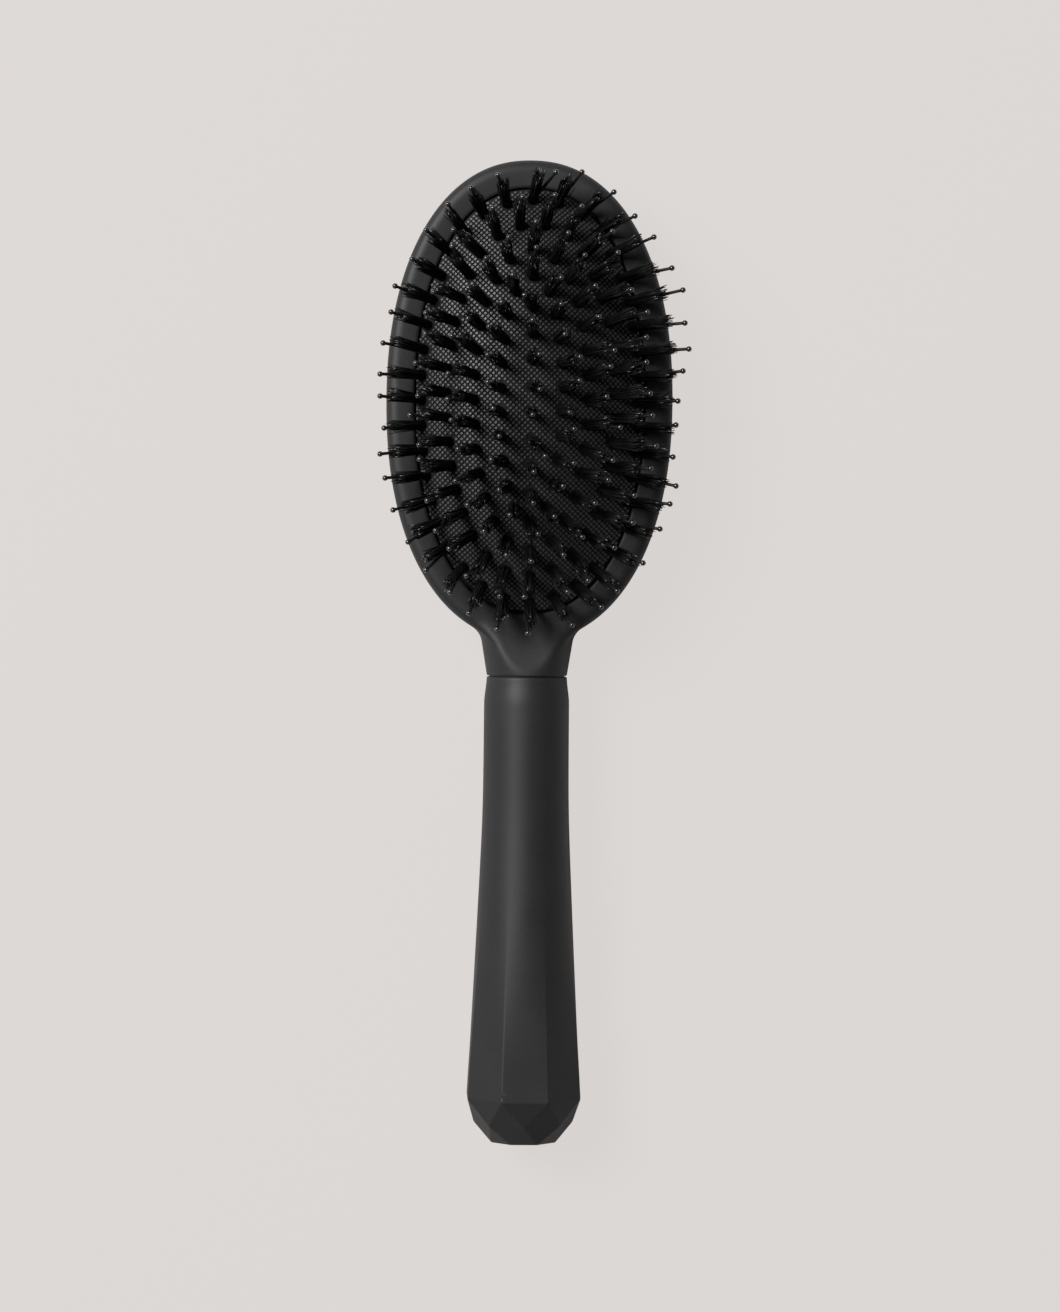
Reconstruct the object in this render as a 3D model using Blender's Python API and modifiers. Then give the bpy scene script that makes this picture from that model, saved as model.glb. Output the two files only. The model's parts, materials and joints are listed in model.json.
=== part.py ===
"""Oval cushion hair brush with tufted bristles and a facet-cut handle.

The brush lies on its back with the bristles up (+Z), its head towards +Y and
its handle towards -Y.  The origin is under the middle of its length, on the
surface that it lies on.  All sizes are in metres.

The head shell is a hollow oval moulding with a neck and a ribbed tang.  The
tang sits in a socket in the handle.  A domed rubber pad is held by its flange
in a groove behind the rim.  Oval rows of tufts sit in shallow channels in the
pad, each tuft with one ball-tipped pin among shorter bristles.
"""

import math

import bmesh
import bpy
from mathutils import Matrix, Vector

# Head shell
HEAD_WIDTH = 0.0712
HEAD_LENGTH = 0.1194
RIM_WIDTH = 0.0069
RIM_EDGE_INSET = 0.0038
RIM_EDGE_DROP = 0.0045
RIM_ABOVE_AXIS = 0.0065
SHELL_WALL = 0.0030
LIP_THICKNESS = 0.0020
OVAL_POWER = 2.2
BACK_POWER = 2.3
BACK_FLAT_SHARE = 0.16

# Neck between the head and the seam
NECK_LENGTH = 0.0086
NECK_RADIUS = 0.0100
NECK_SPREAD = 0.0014
NECK_FILLET_REACH = 0.0052
NECK_FILLET_SPREAD = 0.0031
FILLET_STEP_SHARES = (0.3, 0.55, 0.8, 1.0)
RISE_LOSS_SHARE = 0.1
DROP_LOSS_SHARE = 0.35
ROOT_REACH_SHARE = 3.0
ROOT_HEIGHT_SHARE = 0.55
SCOOP_LENGTH = 0.0160
SCOOP_POWER = 1.4
TANG_RADIUS = 0.0058
TANG_LENGTH = 0.0240
RIB_HEIGHT = 0.0007
RIB_WIDTH = 0.0016
RIB_COUNT = 3
RIB_CREST_SHARE = 0.75

# Handle
HANDLE_LENGTH = 0.1164
SHOULDER_RADIUS = 0.0106
SHOULDER_LENGTH = 0.0068
FLARE_START = 0.0338
FLARE_EASE = 0.0090
OCTAGON_START = 0.0520
BUTT_WIDTH = 0.0282
BUTT_DEPTH = 0.0112
BUTT_FACE_WIDTH = 0.0159
GIRDLE_SHARE = 0.57
SEAM_BEVEL = 0.0003

# Rubber pad
PAD_THICKNESS = 0.0026
DOME_RISE = 0.0095
DOME_EDGE_DEPTH = 0.0005
FLANGE_WIDTH = 0.0016
FLANGE_THICKNESS = 0.0016
HOLLOW_RING_SHARES = (0.16, 0.45, 0.90)

# Tuft rows
OUTER_ROW_SIDE_MARGIN = 0.0020
OUTER_ROW_END_MARGIN = 0.0033
STRIP_WIDTH = 0.0026
STRIP_THICKNESS = 0.0009
CENTRE_STRIP_WIDTH = 0.0048
CENTRE_STRIP_MARGIN = 0.0036
CENTRE_ROOM_SHARE = 0.19
PIN_LENGTH = 0.0200
PIN_RADIUS = 0.0003
BALL_RADIUS = 0.0008
BRISTLE_LENGTH = 0.0140
BRISTLE_RADIUS = 0.00026
BUNDLE_ROOT_RADIUS = 0.00075
BUNDLE_TIP_RADIUS = 0.0016

# Clearances
FIT_GAP = 0.0003
OVERRUN = 0.0020
WELD = 0.00001

# How finely the round forms are faceted
HEAD_SIDES = 64
PAD_SIDES = 40
NECK_SIDES = 40
FACETS = 8
POINTS_PER_FACET = 4
STRAND_SIDES = 3
TURNED_SIDES = 24

# Rows of tufts, from the pad's edge inwards
ROW_NAMES = ("outer", "second", "third", "fourth")
ROW_TUFT_COUNTS = (40, 35, 28, 22)
ROW_STRIP_COUNTS = (8, 5, 4, 2)
ROW_BRISTLE_COUNTS = (3, 2, 2, 2)
ROW_COUNT = len(ROW_NAMES)
CENTRE_TUFT_COUNT = 8
CENTRE_BRISTLE_COUNT = 2

# Sizes that follow from the ones above
HEAD_HALF_WIDTH = HEAD_WIDTH / 2
HEAD_HALF_LENGTH = HEAD_LENGTH / 2
AXIS_HEIGHT = BUTT_WIDTH / 2
RIM_HEIGHT = AXIS_HEIGHT + RIM_ABOVE_AXIS
NECK_REACH = HEAD_HALF_LENGTH + NECK_LENGTH
BRUSH_LENGTH = HEAD_LENGTH + NECK_LENGTH + FIT_GAP + HANDLE_LENGTH
HEAD_CENTRE_Y = BRUSH_LENGTH / 2 - HEAD_HALF_LENGTH
HANDLE_TOP_Y = HEAD_CENTRE_Y - NECK_REACH - FIT_GAP
PAD_HALF_WIDTH = HEAD_HALF_WIDTH - RIM_WIDTH - FIT_GAP
PAD_HALF_LENGTH = HEAD_HALF_LENGTH - RIM_WIDTH - FIT_GAP
OUTER_ROW_HALF_WIDTH = PAD_HALF_WIDTH - OUTER_ROW_SIDE_MARGIN
OUTER_ROW_HALF_LENGTH = PAD_HALF_LENGTH - OUTER_ROW_END_MARGIN
ROW_SPACING = OUTER_ROW_HALF_WIDTH / (ROW_COUNT + CENTRE_ROOM_SHARE)
CENTRE_ROW_HALF_LENGTH = OUTER_ROW_HALF_LENGTH - (ROW_COUNT + CENTRE_ROOM_SHARE) * ROW_SPACING
CROWN_DISTANCE = HANDLE_LENGTH - BUTT_DEPTH
HALF_FACET = math.pi / FACETS


def clear_scene():
    """Remove every object that the file holds."""
    for item in list(bpy.data.objects):
        bpy.data.objects.remove(item, do_unlink=True)


def new_collection(name, shown=True):
    """Return a new collection linked to the scene."""
    group = bpy.data.collections.new(name)
    group.hide_render = not shown
    bpy.context.scene.collection.children.link(group)
    return group


def new_material(name, colour, roughness):
    """Return a Principled material of one colour."""
    material = bpy.data.materials.new(name)
    material.use_nodes = True
    shader = material.node_tree.nodes["Principled BSDF"]
    shader.inputs["Base Color"].default_value = (*colour, 1.0)
    shader.inputs["Roughness"].default_value = roughness
    shader.inputs["Metallic"].default_value = 0.0
    return material


def finish_mesh(shape, name):
    """Turn a bmesh into a smooth-shaded mesh with its faces pointing out."""
    bmesh.ops.recalc_face_normals(shape, faces=shape.faces)
    mesh = bpy.data.meshes.new(name)
    shape.to_mesh(mesh)
    shape.free()
    mesh.shade_smooth()
    mesh.set_sharp_from_angle(angle=math.radians(30))
    return mesh


def place(mesh, group, location=(0, 0, 0), rotation=(0, 0, 0), material=None):
    """Make an object of a mesh, in a collection, at a place."""
    item = bpy.data.objects.new(mesh.name, mesh)
    item.location = location
    item.rotation_euler = rotation
    if material:
        mesh.materials.clear()
        mesh.materials.append(material)
    group.objects.link(item)
    return item


def as_cutter(item):
    """Mark an object as a guide that isn't part of the brush."""
    item.hide_render = True
    item.display_type = "WIRE"
    return item


def combine(item, other, operation):
    """Join another solid to an object, or cut it away, by a modifier."""
    boolean = item.modifiers.new(other.name, "BOOLEAN")
    boolean.operation = operation
    boolean.solver = "EXACT"
    boolean.object = other


def oval_point(half_width, half_length, angle):
    """Return the point of a superellipse at an angle from its -Y end."""
    side = math.sin(angle)
    along = -math.cos(angle)
    x = math.copysign(abs(side) ** (2 / OVAL_POWER), side) * half_width
    y = math.copysign(abs(along) ** (2 / OVAL_POWER), along) * half_length
    return Vector((x, y))


def even_oval(half_width, half_length, count, shift=0.0):
    """Return count points at equal steps along a superellipse.

    shift moves the first point along the oval, as a share of one step.
    """
    fine = count * 24
    track = [oval_point(half_width, half_length, math.tau * i / fine) for i in range(fine + 1)]
    run = [0.0]
    for before, after in zip(track, track[1:]):
        run.append(run[-1] + (after - before).length)
    points = []
    j = 0
    for i in range(count):
        target = ((i + shift) / count * run[-1]) % run[-1]
        if target < run[j]:
            j = 0
        while run[j + 1] < target:
            j += 1
        part = (target - run[j]) / (run[j + 1] - run[j])
        points.append(track[j].lerp(track[j + 1], part))
    return points


def dome_height(x, y):
    """Return the pad's outer surface above the rim's front plane."""
    spread = abs(x / PAD_HALF_WIDTH) ** OVAL_POWER + abs(y / PAD_HALF_LENGTH) ** OVAL_POWER
    return DOME_RISE * (1 - spread) - DOME_EDGE_DEPTH


def dome_normal(x, y):
    """Return the unit normal of the pad's outer surface."""
    power = OVAL_POWER - 1
    slope_x = OVAL_POWER * DOME_RISE / PAD_HALF_WIDTH * abs(x / PAD_HALF_WIDTH) ** power
    slope_y = OVAL_POWER * DOME_RISE / PAD_HALF_LENGTH * abs(y / PAD_HALF_LENGTH) ** power
    return Vector((math.copysign(slope_x, x), math.copysign(slope_y, y), 1)).normalized()


def on_dome(point, depth=0.0):
    """Lift a flat point to the pad's surface, or to a depth under it."""
    return Vector((point.x, point.y, dome_height(point.x, point.y) - depth))


def bridge_rings(shape, rings):
    """Add rings of equally many points and the faces between them."""
    loops = [[shape.verts.new(point) for point in ring] for ring in rings]
    for lower, upper in zip(loops, loops[1:]):
        for i in range(len(lower)):
            j = (i + 1) % len(lower)
            shape.faces.new((lower[i], lower[j], upper[j], upper[i]))
    return loops


def cap_ring(shape, loop):
    """Close a ring with faces that run straight across it, like rungs."""
    last = len(loop) // 2
    for i in range(last):
        corners = [loop[i], loop[i + 1], loop[-i - 1], loop[-i]]
        shape.faces.new(list(dict.fromkeys(corners)))


def lofted(name, rings):
    """Bridge rings of equally many points, and cap the first and the last."""
    shape = bmesh.new()
    loops = bridge_rings(shape, rings)
    cap_ring(shape, loops[0])
    cap_ring(shape, loops[-1])
    return finish_mesh(shape, name)


def turned(name, outline, sides):
    """Turn an outline of (radius, height) points about Z with a Screw modifier."""
    shape = bmesh.new()
    chain = [shape.verts.new((radius, 0, height)) for radius, height in outline]
    for start, end in zip(chain, chain[1:]):
        shape.edges.new((start, end))
    mesh = bpy.data.meshes.new(name)
    shape.to_mesh(mesh)
    shape.free()
    blank = bpy.data.objects.new(name, mesh)
    bpy.context.scene.collection.objects.link(blank)
    screw = blank.modifiers.new("turn", "SCREW")
    screw.steps = sides
    screw.render_steps = sides
    screw.use_merge_vertices = True
    screw.merge_threshold = WELD
    return baked(blank, name)


def baked(blank, name):
    """Replace an object by the mesh that its modifiers or curve make."""
    bpy.context.view_layer.update()
    graph = bpy.context.evaluated_depsgraph_get()
    mesh = bpy.data.meshes.new_from_object(blank.evaluated_get(graph))
    mesh.name = name
    bpy.data.objects.remove(blank, do_unlink=True)
    shape = bmesh.new()
    shape.from_mesh(mesh)
    bmesh.ops.remove_doubles(shape, verts=shape.verts, dist=WELD)
    bmesh.ops.recalc_face_normals(shape, faces=shape.faces)
    shape.to_mesh(mesh)
    shape.free()
    mesh.shade_smooth()
    mesh.set_sharp_from_angle(angle=math.radians(30))
    return mesh


def extruded(name, outline, half_depth):
    """Fill a flat outline as a 2D curve and extrude it both ways."""
    curve = bpy.data.curves.new(name, "CURVE")
    curve.dimensions = "2D"
    curve.fill_mode = "BOTH"
    curve.extrude = half_depth
    spline = curve.splines.new("POLY")
    spline.points.add(len(outline) - 1)
    for point, (x, y) in zip(spline.points, outline):
        point.co = (x, y, 0, 1)
    spline.use_cyclic_u = True
    blank = bpy.data.objects.new(name, curve)
    bpy.context.scene.collection.objects.link(blank)
    return baked(blank, name)


def flat_ring(half_width, half_length, height, sides=HEAD_SIDES):
    """Return one level ring of an oval loft."""
    return [Vector((p.x, p.y, height)) for p in even_oval(half_width, half_length, sides)]


def bowl_rings(half_width, half_length, top, bottom, steps=7):
    """Return the rings of a rounded bowl, from its brim to its flat bottom."""
    rings = []
    last = math.acos(BACK_FLAT_SHARE ** (BACK_POWER / 2))
    for i in range(steps + 1):
        angle = last * i / steps
        size = math.cos(angle) ** (2 / BACK_POWER)
        drop = (math.sin(angle) / math.sin(last)) ** (2 / BACK_POWER)
        rings.append(flat_ring(half_width * size, half_length * size, top + (bottom - top) * drop))
    return rings


def head_body():
    """Loft the head's outside, from over its front plane to its back."""
    front = HEAD_HALF_WIDTH - RIM_EDGE_INSET, HEAD_HALF_LENGTH - RIM_EDGE_INSET
    rings = [flat_ring(*front, FIT_GAP)]
    edge_steps = 5
    for i in range(1, edge_steps):
        angle = math.pi / 2 * i / edge_steps
        inset = RIM_EDGE_INSET * (1 - math.sin(angle))
        drop = RIM_EDGE_DROP * (1 - math.cos(angle))
        rings.append(flat_ring(HEAD_HALF_WIDTH - inset, HEAD_HALF_LENGTH - inset, -drop))
    rings += bowl_rings(HEAD_HALF_WIDTH, HEAD_HALF_LENGTH, -RIM_EDGE_DROP, -RIM_HEIGHT)
    return lofted("head_shell", rings)


def neck_ring(distance, half_width, rise, drop):
    """Return a ring across the neck, at a distance from the seam.

    rise and drop are its half heights above and below the handle's axis.
    """
    ring = []
    for i in range(NECK_SIDES):
        angle = math.tau * i / NECK_SIDES
        half_height = rise if i < NECK_SIDES / 2 else drop
        height = half_height * math.sin(angle) - RIM_ABOVE_AXIS
        ring.append(Vector((half_width * math.cos(angle), distance - NECK_REACH, height)))
    return ring


def neck():
    """Loft the neck from the seam into the head."""
    end_radius = NECK_RADIUS - SEAM_BEVEL
    rings = [neck_ring(0, end_radius, end_radius, end_radius)]
    straight = [SEAM_BEVEL, NECK_LENGTH / 3, NECK_LENGTH * 2 / 3, NECK_LENGTH]
    flared = [NECK_LENGTH + NECK_FILLET_REACH * share for share in FILLET_STEP_SHARES]
    for distance in straight + flared:
        past = max(distance - NECK_LENGTH, 0) / NECK_FILLET_REACH
        half_width = NECK_RADIUS + NECK_SPREAD * distance / NECK_LENGTH
        half_width += NECK_FILLET_SPREAD * past ** 3
        rise = NECK_RADIUS * (1 - RISE_LOSS_SHARE * past)
        drop = NECK_RADIUS * (1 - DROP_LOSS_SHARE * past)
        rings.append(neck_ring(distance, half_width, rise, drop))
    root = NECK_LENGTH + NECK_FILLET_REACH * ROOT_REACH_SHARE
    root_height = NECK_RADIUS * ROOT_HEIGHT_SHARE
    rings.append(neck_ring(root, NECK_RADIUS, root_height, root_height))
    return lofted("neck", rings)


def tang():
    """Turn the ribbed tang that the handle is pressed on."""
    outline = [(0, -OVERRUN), (TANG_RADIUS, -OVERRUN)]
    for i in range(RIB_COUNT):
        start = TANG_LENGTH * (i + 1) / (RIB_COUNT + 1) - RIB_WIDTH
        outline.append((TANG_RADIUS, start))
        outline.append((TANG_RADIUS + RIB_HEIGHT, start + RIB_WIDTH * RIB_CREST_SHARE))
        outline.append((TANG_RADIUS, start + RIB_WIDTH))
    outline.append((TANG_RADIUS, TANG_LENGTH - RIB_WIDTH))
    outline.append((TANG_RADIUS - RIB_HEIGHT, TANG_LENGTH))
    outline.append((0, TANG_LENGTH))
    return turned("tang", outline[::-1], TURNED_SIDES)


def front_cutter():
    """Make the solid in front of the rim's plane and of the neck's scoop."""
    rise = NECK_RADIUS - RIM_ABOVE_AXIS
    steps = 10
    outline = []
    for i in range(-1, steps + 1):
        share = i / steps
        outline.append((SCOOP_LENGTH * share - NECK_REACH + FIT_GAP, rise * (1 - share) ** SCOOP_POWER))
    clear_of_head = HEAD_HALF_LENGTH + OVERRUN
    outline.append((clear_of_head, 0))
    outline.append((clear_of_head, NECK_RADIUS))
    outline.append((outline[0][0], NECK_RADIUS))
    return extruded("front_cutter", outline, HEAD_HALF_WIDTH + OVERRUN)


def recess_cutter():
    """Loft the hollow that holds the pad, with the groove for its flange."""
    brim = PAD_HALF_WIDTH + FIT_GAP, PAD_HALF_LENGTH + FIT_GAP
    groove = brim[0] + FLANGE_WIDTH, brim[1] + FLANGE_WIDTH
    groove_floor = -LIP_THICKNESS - FLANGE_THICKNESS - 2 * FIT_GAP
    rings = [flat_ring(*brim, OVERRUN), flat_ring(*brim, -LIP_THICKNESS)]
    rings += [flat_ring(*groove, -LIP_THICKNESS), flat_ring(*groove, groove_floor)]
    rings += bowl_rings(*brim, groove_floor, SHELL_WALL - RIM_HEIGHT)
    return lofted("recess_cutter", rings)


def build_head(parts, cutters):
    """Build the head shell, with its neck, tang, rim and hollow."""
    centre = (0, HEAD_CENTRE_Y, RIM_HEIGHT)
    axis_point = (0, HEAD_CENTRE_Y - NECK_REACH, AXIS_HEIGHT)
    quarter = math.radians(90)
    material = new_material("head plastic", (0.028, 0.028, 0.030), 0.46)
    shell = place(head_body(), parts, centre, material=material)
    neck_blank = as_cutter(place(neck(), cutters, centre))
    tang_blank = as_cutter(place(tang(), cutters, axis_point, (quarter, 0, 0)))
    front = as_cutter(place(front_cutter(), cutters, centre, (quarter, 0, quarter)))
    recess = as_cutter(place(recess_cutter(), cutters, centre))
    combine(shell, neck_blank, "UNION")
    combine(shell, tang_blank, "UNION")
    combine(shell, front, "DIFFERENCE")
    combine(shell, recess, "DIFFERENCE")


def flare(distance):
    """Return how far the handle's side has moved out, as a length."""
    past = distance - FLARE_START
    return (past + math.hypot(past, FLARE_EASE)) / 2


def ease(share):
    """Return a share between 0 and 1 that starts and ends gently."""
    share = min(max(share, 0), 1)
    return share * share * (3 - 2 * share)


def grip_half_width(distance):
    """Return the handle's half width at a distance from the seam."""
    shoulder = (SHOULDER_RADIUS - NECK_RADIUS) * ease(distance / SHOULDER_LENGTH)
    spread = (BUTT_WIDTH / 2 - SHOULDER_RADIUS) * flare(distance) / flare(CROWN_DISTANCE)
    return NECK_RADIUS + shoulder + spread


def grip_ring(distance, half_width):
    """Return a ring that turns from a circle into an octagon down the handle."""
    octagon = ease((distance - OCTAGON_START) / (CROWN_DISTANCE - OCTAGON_START))
    ring = []
    for facet in range(FACETS):
        for step in range(POINTS_PER_FACET):
            across = 2 * step / POINTS_PER_FACET - 1
            round_point = Vector((math.cos(HALF_FACET * across), math.sin(HALF_FACET * across)))
            flat_point = Vector((1, math.tan(HALF_FACET) * across))
            point = round_point.lerp(flat_point, octagon) * half_width
            point.rotate(Matrix.Rotation(2 * HALF_FACET * facet, 2))
            ring.append(Vector((point.x, point.y, distance)))
    return ring


def corner_ring(radius, distance, turn):
    """Return the eight corners of a ring of the butt, turned by an angle."""
    angles = [2 * HALF_FACET * facet + turn for facet in range(FACETS)]
    return [Vector((radius * math.cos(a), radius * math.sin(a), distance)) for a in angles]


def handle_body():
    """Loft the grip and close it with the facet-cut butt."""
    distances = [SEAM_BEVEL] + [SHOULDER_LENGTH * share for share in (0.2, 0.4, 0.6, 0.8, 1.0)]
    flare_steps = 14
    for i in range(flare_steps + 1):
        start = SHOULDER_LENGTH + (FLARE_START - SHOULDER_LENGTH) / 2
        distances.append(start + (CROWN_DISTANCE - start) * i / flare_steps)
    rings = [grip_ring(0, NECK_RADIUS - SEAM_BEVEL)]
    rings += [grip_ring(distance, grip_half_width(distance)) for distance in distances]
    crown_radius = BUTT_WIDTH / 2 / math.cos(HALF_FACET)
    face_radius = BUTT_FACE_WIDTH / 2 / math.cos(HALF_FACET)
    girdle_radius = crown_radius + (face_radius - crown_radius) * GIRDLE_SHARE
    girdle = corner_ring(girdle_radius / math.cos(HALF_FACET), CROWN_DISTANCE + BUTT_DEPTH * GIRDLE_SHARE, 0)
    face = corner_ring(face_radius, HANDLE_LENGTH, -HALF_FACET)

    shape = bmesh.new()
    loops = bridge_rings(shape, rings)
    shape.faces.new(loops[0])
    crown = loops[-1]
    girdle = [shape.verts.new(point) for point in girdle]
    face = [shape.verts.new(point) for point in face]
    for k in range(FACETS):
        corner = crown[k * POINTS_PER_FACET]
        for step in range(POINTS_PER_FACET):
            i = k * POINTS_PER_FACET + step
            shape.faces.new((crown[i], crown[(i + 1) % len(crown)], girdle[k]))
        shape.faces.new((corner, girdle[k], face[k], girdle[k - 1]))
        shape.faces.new((girdle[k], face[(k + 1) % FACETS], face[k]))
    shape.faces.new(face)
    return finish_mesh(shape, "handle")


def build_handle(parts, cutters):
    """Build the handle, with the socket for the head's tang."""
    seat = (0, HANDLE_TOP_Y, AXIS_HEIGHT)
    along = (math.radians(90), 0, 0)
    material = new_material("handle plastic", (0.032, 0.032, 0.034), 0.42)
    handle = place(handle_body(), parts, seat, along, material)
    radius = TANG_RADIUS + RIB_HEIGHT + FIT_GAP
    outline = [(0, TANG_LENGTH), (radius, TANG_LENGTH), (radius, -OVERRUN), (0, -OVERRUN)]
    socket = as_cutter(place(turned("socket_cutter", outline, TURNED_SIDES), cutters, seat, along))
    combine(handle, socket, "DIFFERENCE")


def row_sizes(index):
    """Return the half width and half length of a ring row."""
    return OUTER_ROW_HALF_WIDTH - index * ROW_SPACING, OUTER_ROW_HALF_LENGTH - index * ROW_SPACING


def row_frames(half_width, half_length, count, shift):
    """Return (point, sideways, outwards) on the dome at steps along a row."""
    points = even_oval(half_width, half_length, count, shift)
    frames = []
    for i, point in enumerate(points):
        ahead = points[(i + 1) % count] - points[i - 1]
        outwards = dome_normal(point.x, point.y)
        sideways = Vector((ahead.x, ahead.y, 0)).cross(outwards).normalized()
        frames.append((on_dome(point), sideways, outwards))
    return frames


def strip_frames(index):
    """Return the frames where a ring row's strips and channel bend.

    They start half a tuft's step before the tuft on the centre line.
    """
    return row_frames(*row_sizes(index), PAD_SIDES, -0.5 * PAD_SIDES / ROW_TUFT_COUNTS[index])


def channel_rings(index):
    """Return the four rings of the channel that a ring row's strips lie in."""
    reach = STRIP_WIDTH / 2 + FIT_GAP
    depth = STRIP_THICKNESS + FIT_GAP
    corners = ((-reach, 0), (-reach, depth), (reach, depth), (reach, 0))
    frames = strip_frames(index)
    return [[at + side * across - out * down for at, side, out in frames] for across, down in corners]


def centre_ring(grow, depth):
    """Return an oval ring on the dome for the centre row's strip or channel."""
    half_width = CENTRE_STRIP_WIDTH / 2 + grow
    half_length = CENTRE_ROW_HALF_LENGTH + CENTRE_STRIP_MARGIN + grow
    return [on_dome(point, depth) for point in even_oval(half_width, half_length, PAD_SIDES)]


def dome_ring(inset, depth):
    """Return a ring under the dome, at an inset from the pad's edge."""
    points = even_oval(PAD_HALF_WIDTH - inset, PAD_HALF_LENGTH - inset, PAD_SIDES)
    return [on_dome(point, depth) for point in points]


def pad_body():
    """Loft the pad: crown, channels, skirt, flange and hollow underside."""
    channel_depth = STRIP_THICKNESS + FIT_GAP
    rings = [centre_ring(FIT_GAP, channel_depth), centre_ring(FIT_GAP, 0)]
    for index in reversed(range(ROW_COUNT)):
        rings += channel_rings(index)
    flange_top = -LIP_THICKNESS - FIT_GAP
    flange_bottom = flange_top - FLANGE_THICKNESS
    edge = PAD_HALF_WIDTH, PAD_HALF_LENGTH
    flange = edge[0] + FLANGE_WIDTH, edge[1] + FLANGE_WIDTH
    throat = edge[0] - FLANGE_WIDTH, edge[1] - FLANGE_WIDTH
    rings.append(dome_ring(0, 0))
    rings.append(flat_ring(*edge, flange_top, PAD_SIDES))
    rings.append(flat_ring(*flange, flange_top, PAD_SIDES))
    rings.append(flat_ring(*flange, flange_bottom, PAD_SIDES))
    rings.append(flat_ring(*throat, flange_bottom, PAD_SIDES))
    for share in HOLLOW_RING_SHARES:
        rings.append(dome_ring(PAD_HALF_WIDTH * share, PAD_THICKNESS))
    return lofted("cushion_pad", rings)


def strand(shape, template, at, outwards, sideways):
    """Add a copy of a strand to a mesh, rooted at a point."""
    ahead = outwards.cross(sideways).normalized()
    across = ahead.cross(outwards).normalized()
    turn = Matrix((across, ahead, outwards)).transposed().to_4x4()
    start = len(shape.verts)
    shape.from_mesh(template)
    shape.verts.ensure_lookup_table()
    bmesh.ops.transform(shape, matrix=Matrix.Translation(at) @ turn, verts=shape.verts[start:])


def add_tuft(shape, pin, bristle, at, sideways, outwards, bristles):
    """Add one tuft: a ball-tipped pin with bristles spread round it."""
    strand(shape, pin, at, outwards, sideways)
    ahead = outwards.cross(sideways)
    for i in range(bristles):
        angle = math.tau * (i + 0.25) / bristles
        away = sideways * math.cos(angle) + ahead * math.sin(angle)
        root = at + away * BUNDLE_ROOT_RADIUS
        tip = at + away * BUNDLE_TIP_RADIUS + outwards * BRISTLE_LENGTH
        strand(shape, bristle, root, (tip - root).normalized(), sideways)


def strip_mesh(name, frames):
    """Make a thin strip along the dome: an open band, which Solidify thickens."""
    shape = bmesh.new()
    reach = STRIP_WIDTH / 2
    pairs = [[shape.verts.new(at + side * across) for across in (-reach, reach)] for at, side, _ in frames]
    for (a, b), (c, d) in zip(pairs, pairs[1:]):
        shape.faces.new((a, b, d, c))
    mesh = bpy.data.meshes.new(name)
    shape.to_mesh(mesh)
    shape.free()
    return mesh


def build_strip(name, frames, row, material, parts):
    """Place one strip of a ring row under the row's empty."""
    start, end = frames[0], frames[-1]
    trim = FIT_GAP / 2
    ahead = (frames[1][0] - start[0]).normalized() * trim
    back = (frames[-2][0] - end[0]).normalized() * trim
    frames = [(start[0] + ahead, *start[1:]), *frames[1:-1], (end[0] + back, *end[1:])]
    strip = place(strip_mesh(name, frames), parts, material=material)
    strip.parent = row
    thicken = strip.modifiers.new("thickness", "SOLIDIFY")
    thicken.thickness = STRIP_THICKNESS
    thicken.offset = -1
    thicken.use_even_offset = True
    return strip


def fuse_tufts(strip, tufts, templates, bristles, cutters):
    """Join a group of tufts to the strip that backs them."""
    shape = bmesh.new()
    for at, side, out in tufts:
        add_tuft(shape, *templates, at, side, out, bristles)
    mesh = bpy.data.meshes.new(strip.name + "_strands")
    shape.to_mesh(mesh)
    shape.free()
    strands = as_cutter(place(mesh, cutters))
    strands.parent = strip.parent
    combine(strip, strands, "UNION")


def new_row(name, parts):
    """Make the empty that a row slides on."""
    row = bpy.data.objects.new(name, None)
    row.location = (0, HEAD_CENTRE_Y, RIM_HEIGHT)
    parts.objects.link(row)
    return row


def strand_templates():
    """Return the ball-tipped pin and the pointed bristle, rooted at zero."""
    root = -STRIP_THICKNESS / 2
    ball = PIN_LENGTH - BALL_RADIUS
    pin = [(0, PIN_LENGTH), (BALL_RADIUS, ball), (PIN_RADIUS, ball - BALL_RADIUS), (PIN_RADIUS, root), (0, root)]
    bristle = [(0, BRISTLE_LENGTH), (BRISTLE_RADIUS, root), (0, root)]
    return turned("pin", pin, STRAND_SIDES), turned("bristle", bristle, STRAND_SIDES)


def build_ring_rows(parts, cutters):
    """Build the oval rows of tufts, each as a few strips."""
    templates = strand_templates()
    material = new_material("bristle black", (0.016, 0.016, 0.017), 0.38)
    for index, row_name in enumerate(ROW_NAMES):
        row = new_row("row_" + row_name, parts)
        bends = strip_frames(index)
        places = row_frames(*row_sizes(index), ROW_TUFT_COUNTS[index], 0)
        bends_each = PAD_SIDES // ROW_STRIP_COUNTS[index]
        tufts_each = ROW_TUFT_COUNTS[index] // ROW_STRIP_COUNTS[index]
        for i in range(ROW_STRIP_COUNTS[index]):
            first = i * bends_each
            frames = [bends[j % PAD_SIDES] for j in range(first, first + bends_each + 1)]
            strip = build_strip(f"tufts_{row_name}_{i + 1}", frames, row, material, parts)
            chosen = places[i * tufts_each:(i + 1) * tufts_each]
            fuse_tufts(strip, chosen, templates, ROW_BRISTLE_COUNTS[index], cutters)


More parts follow.
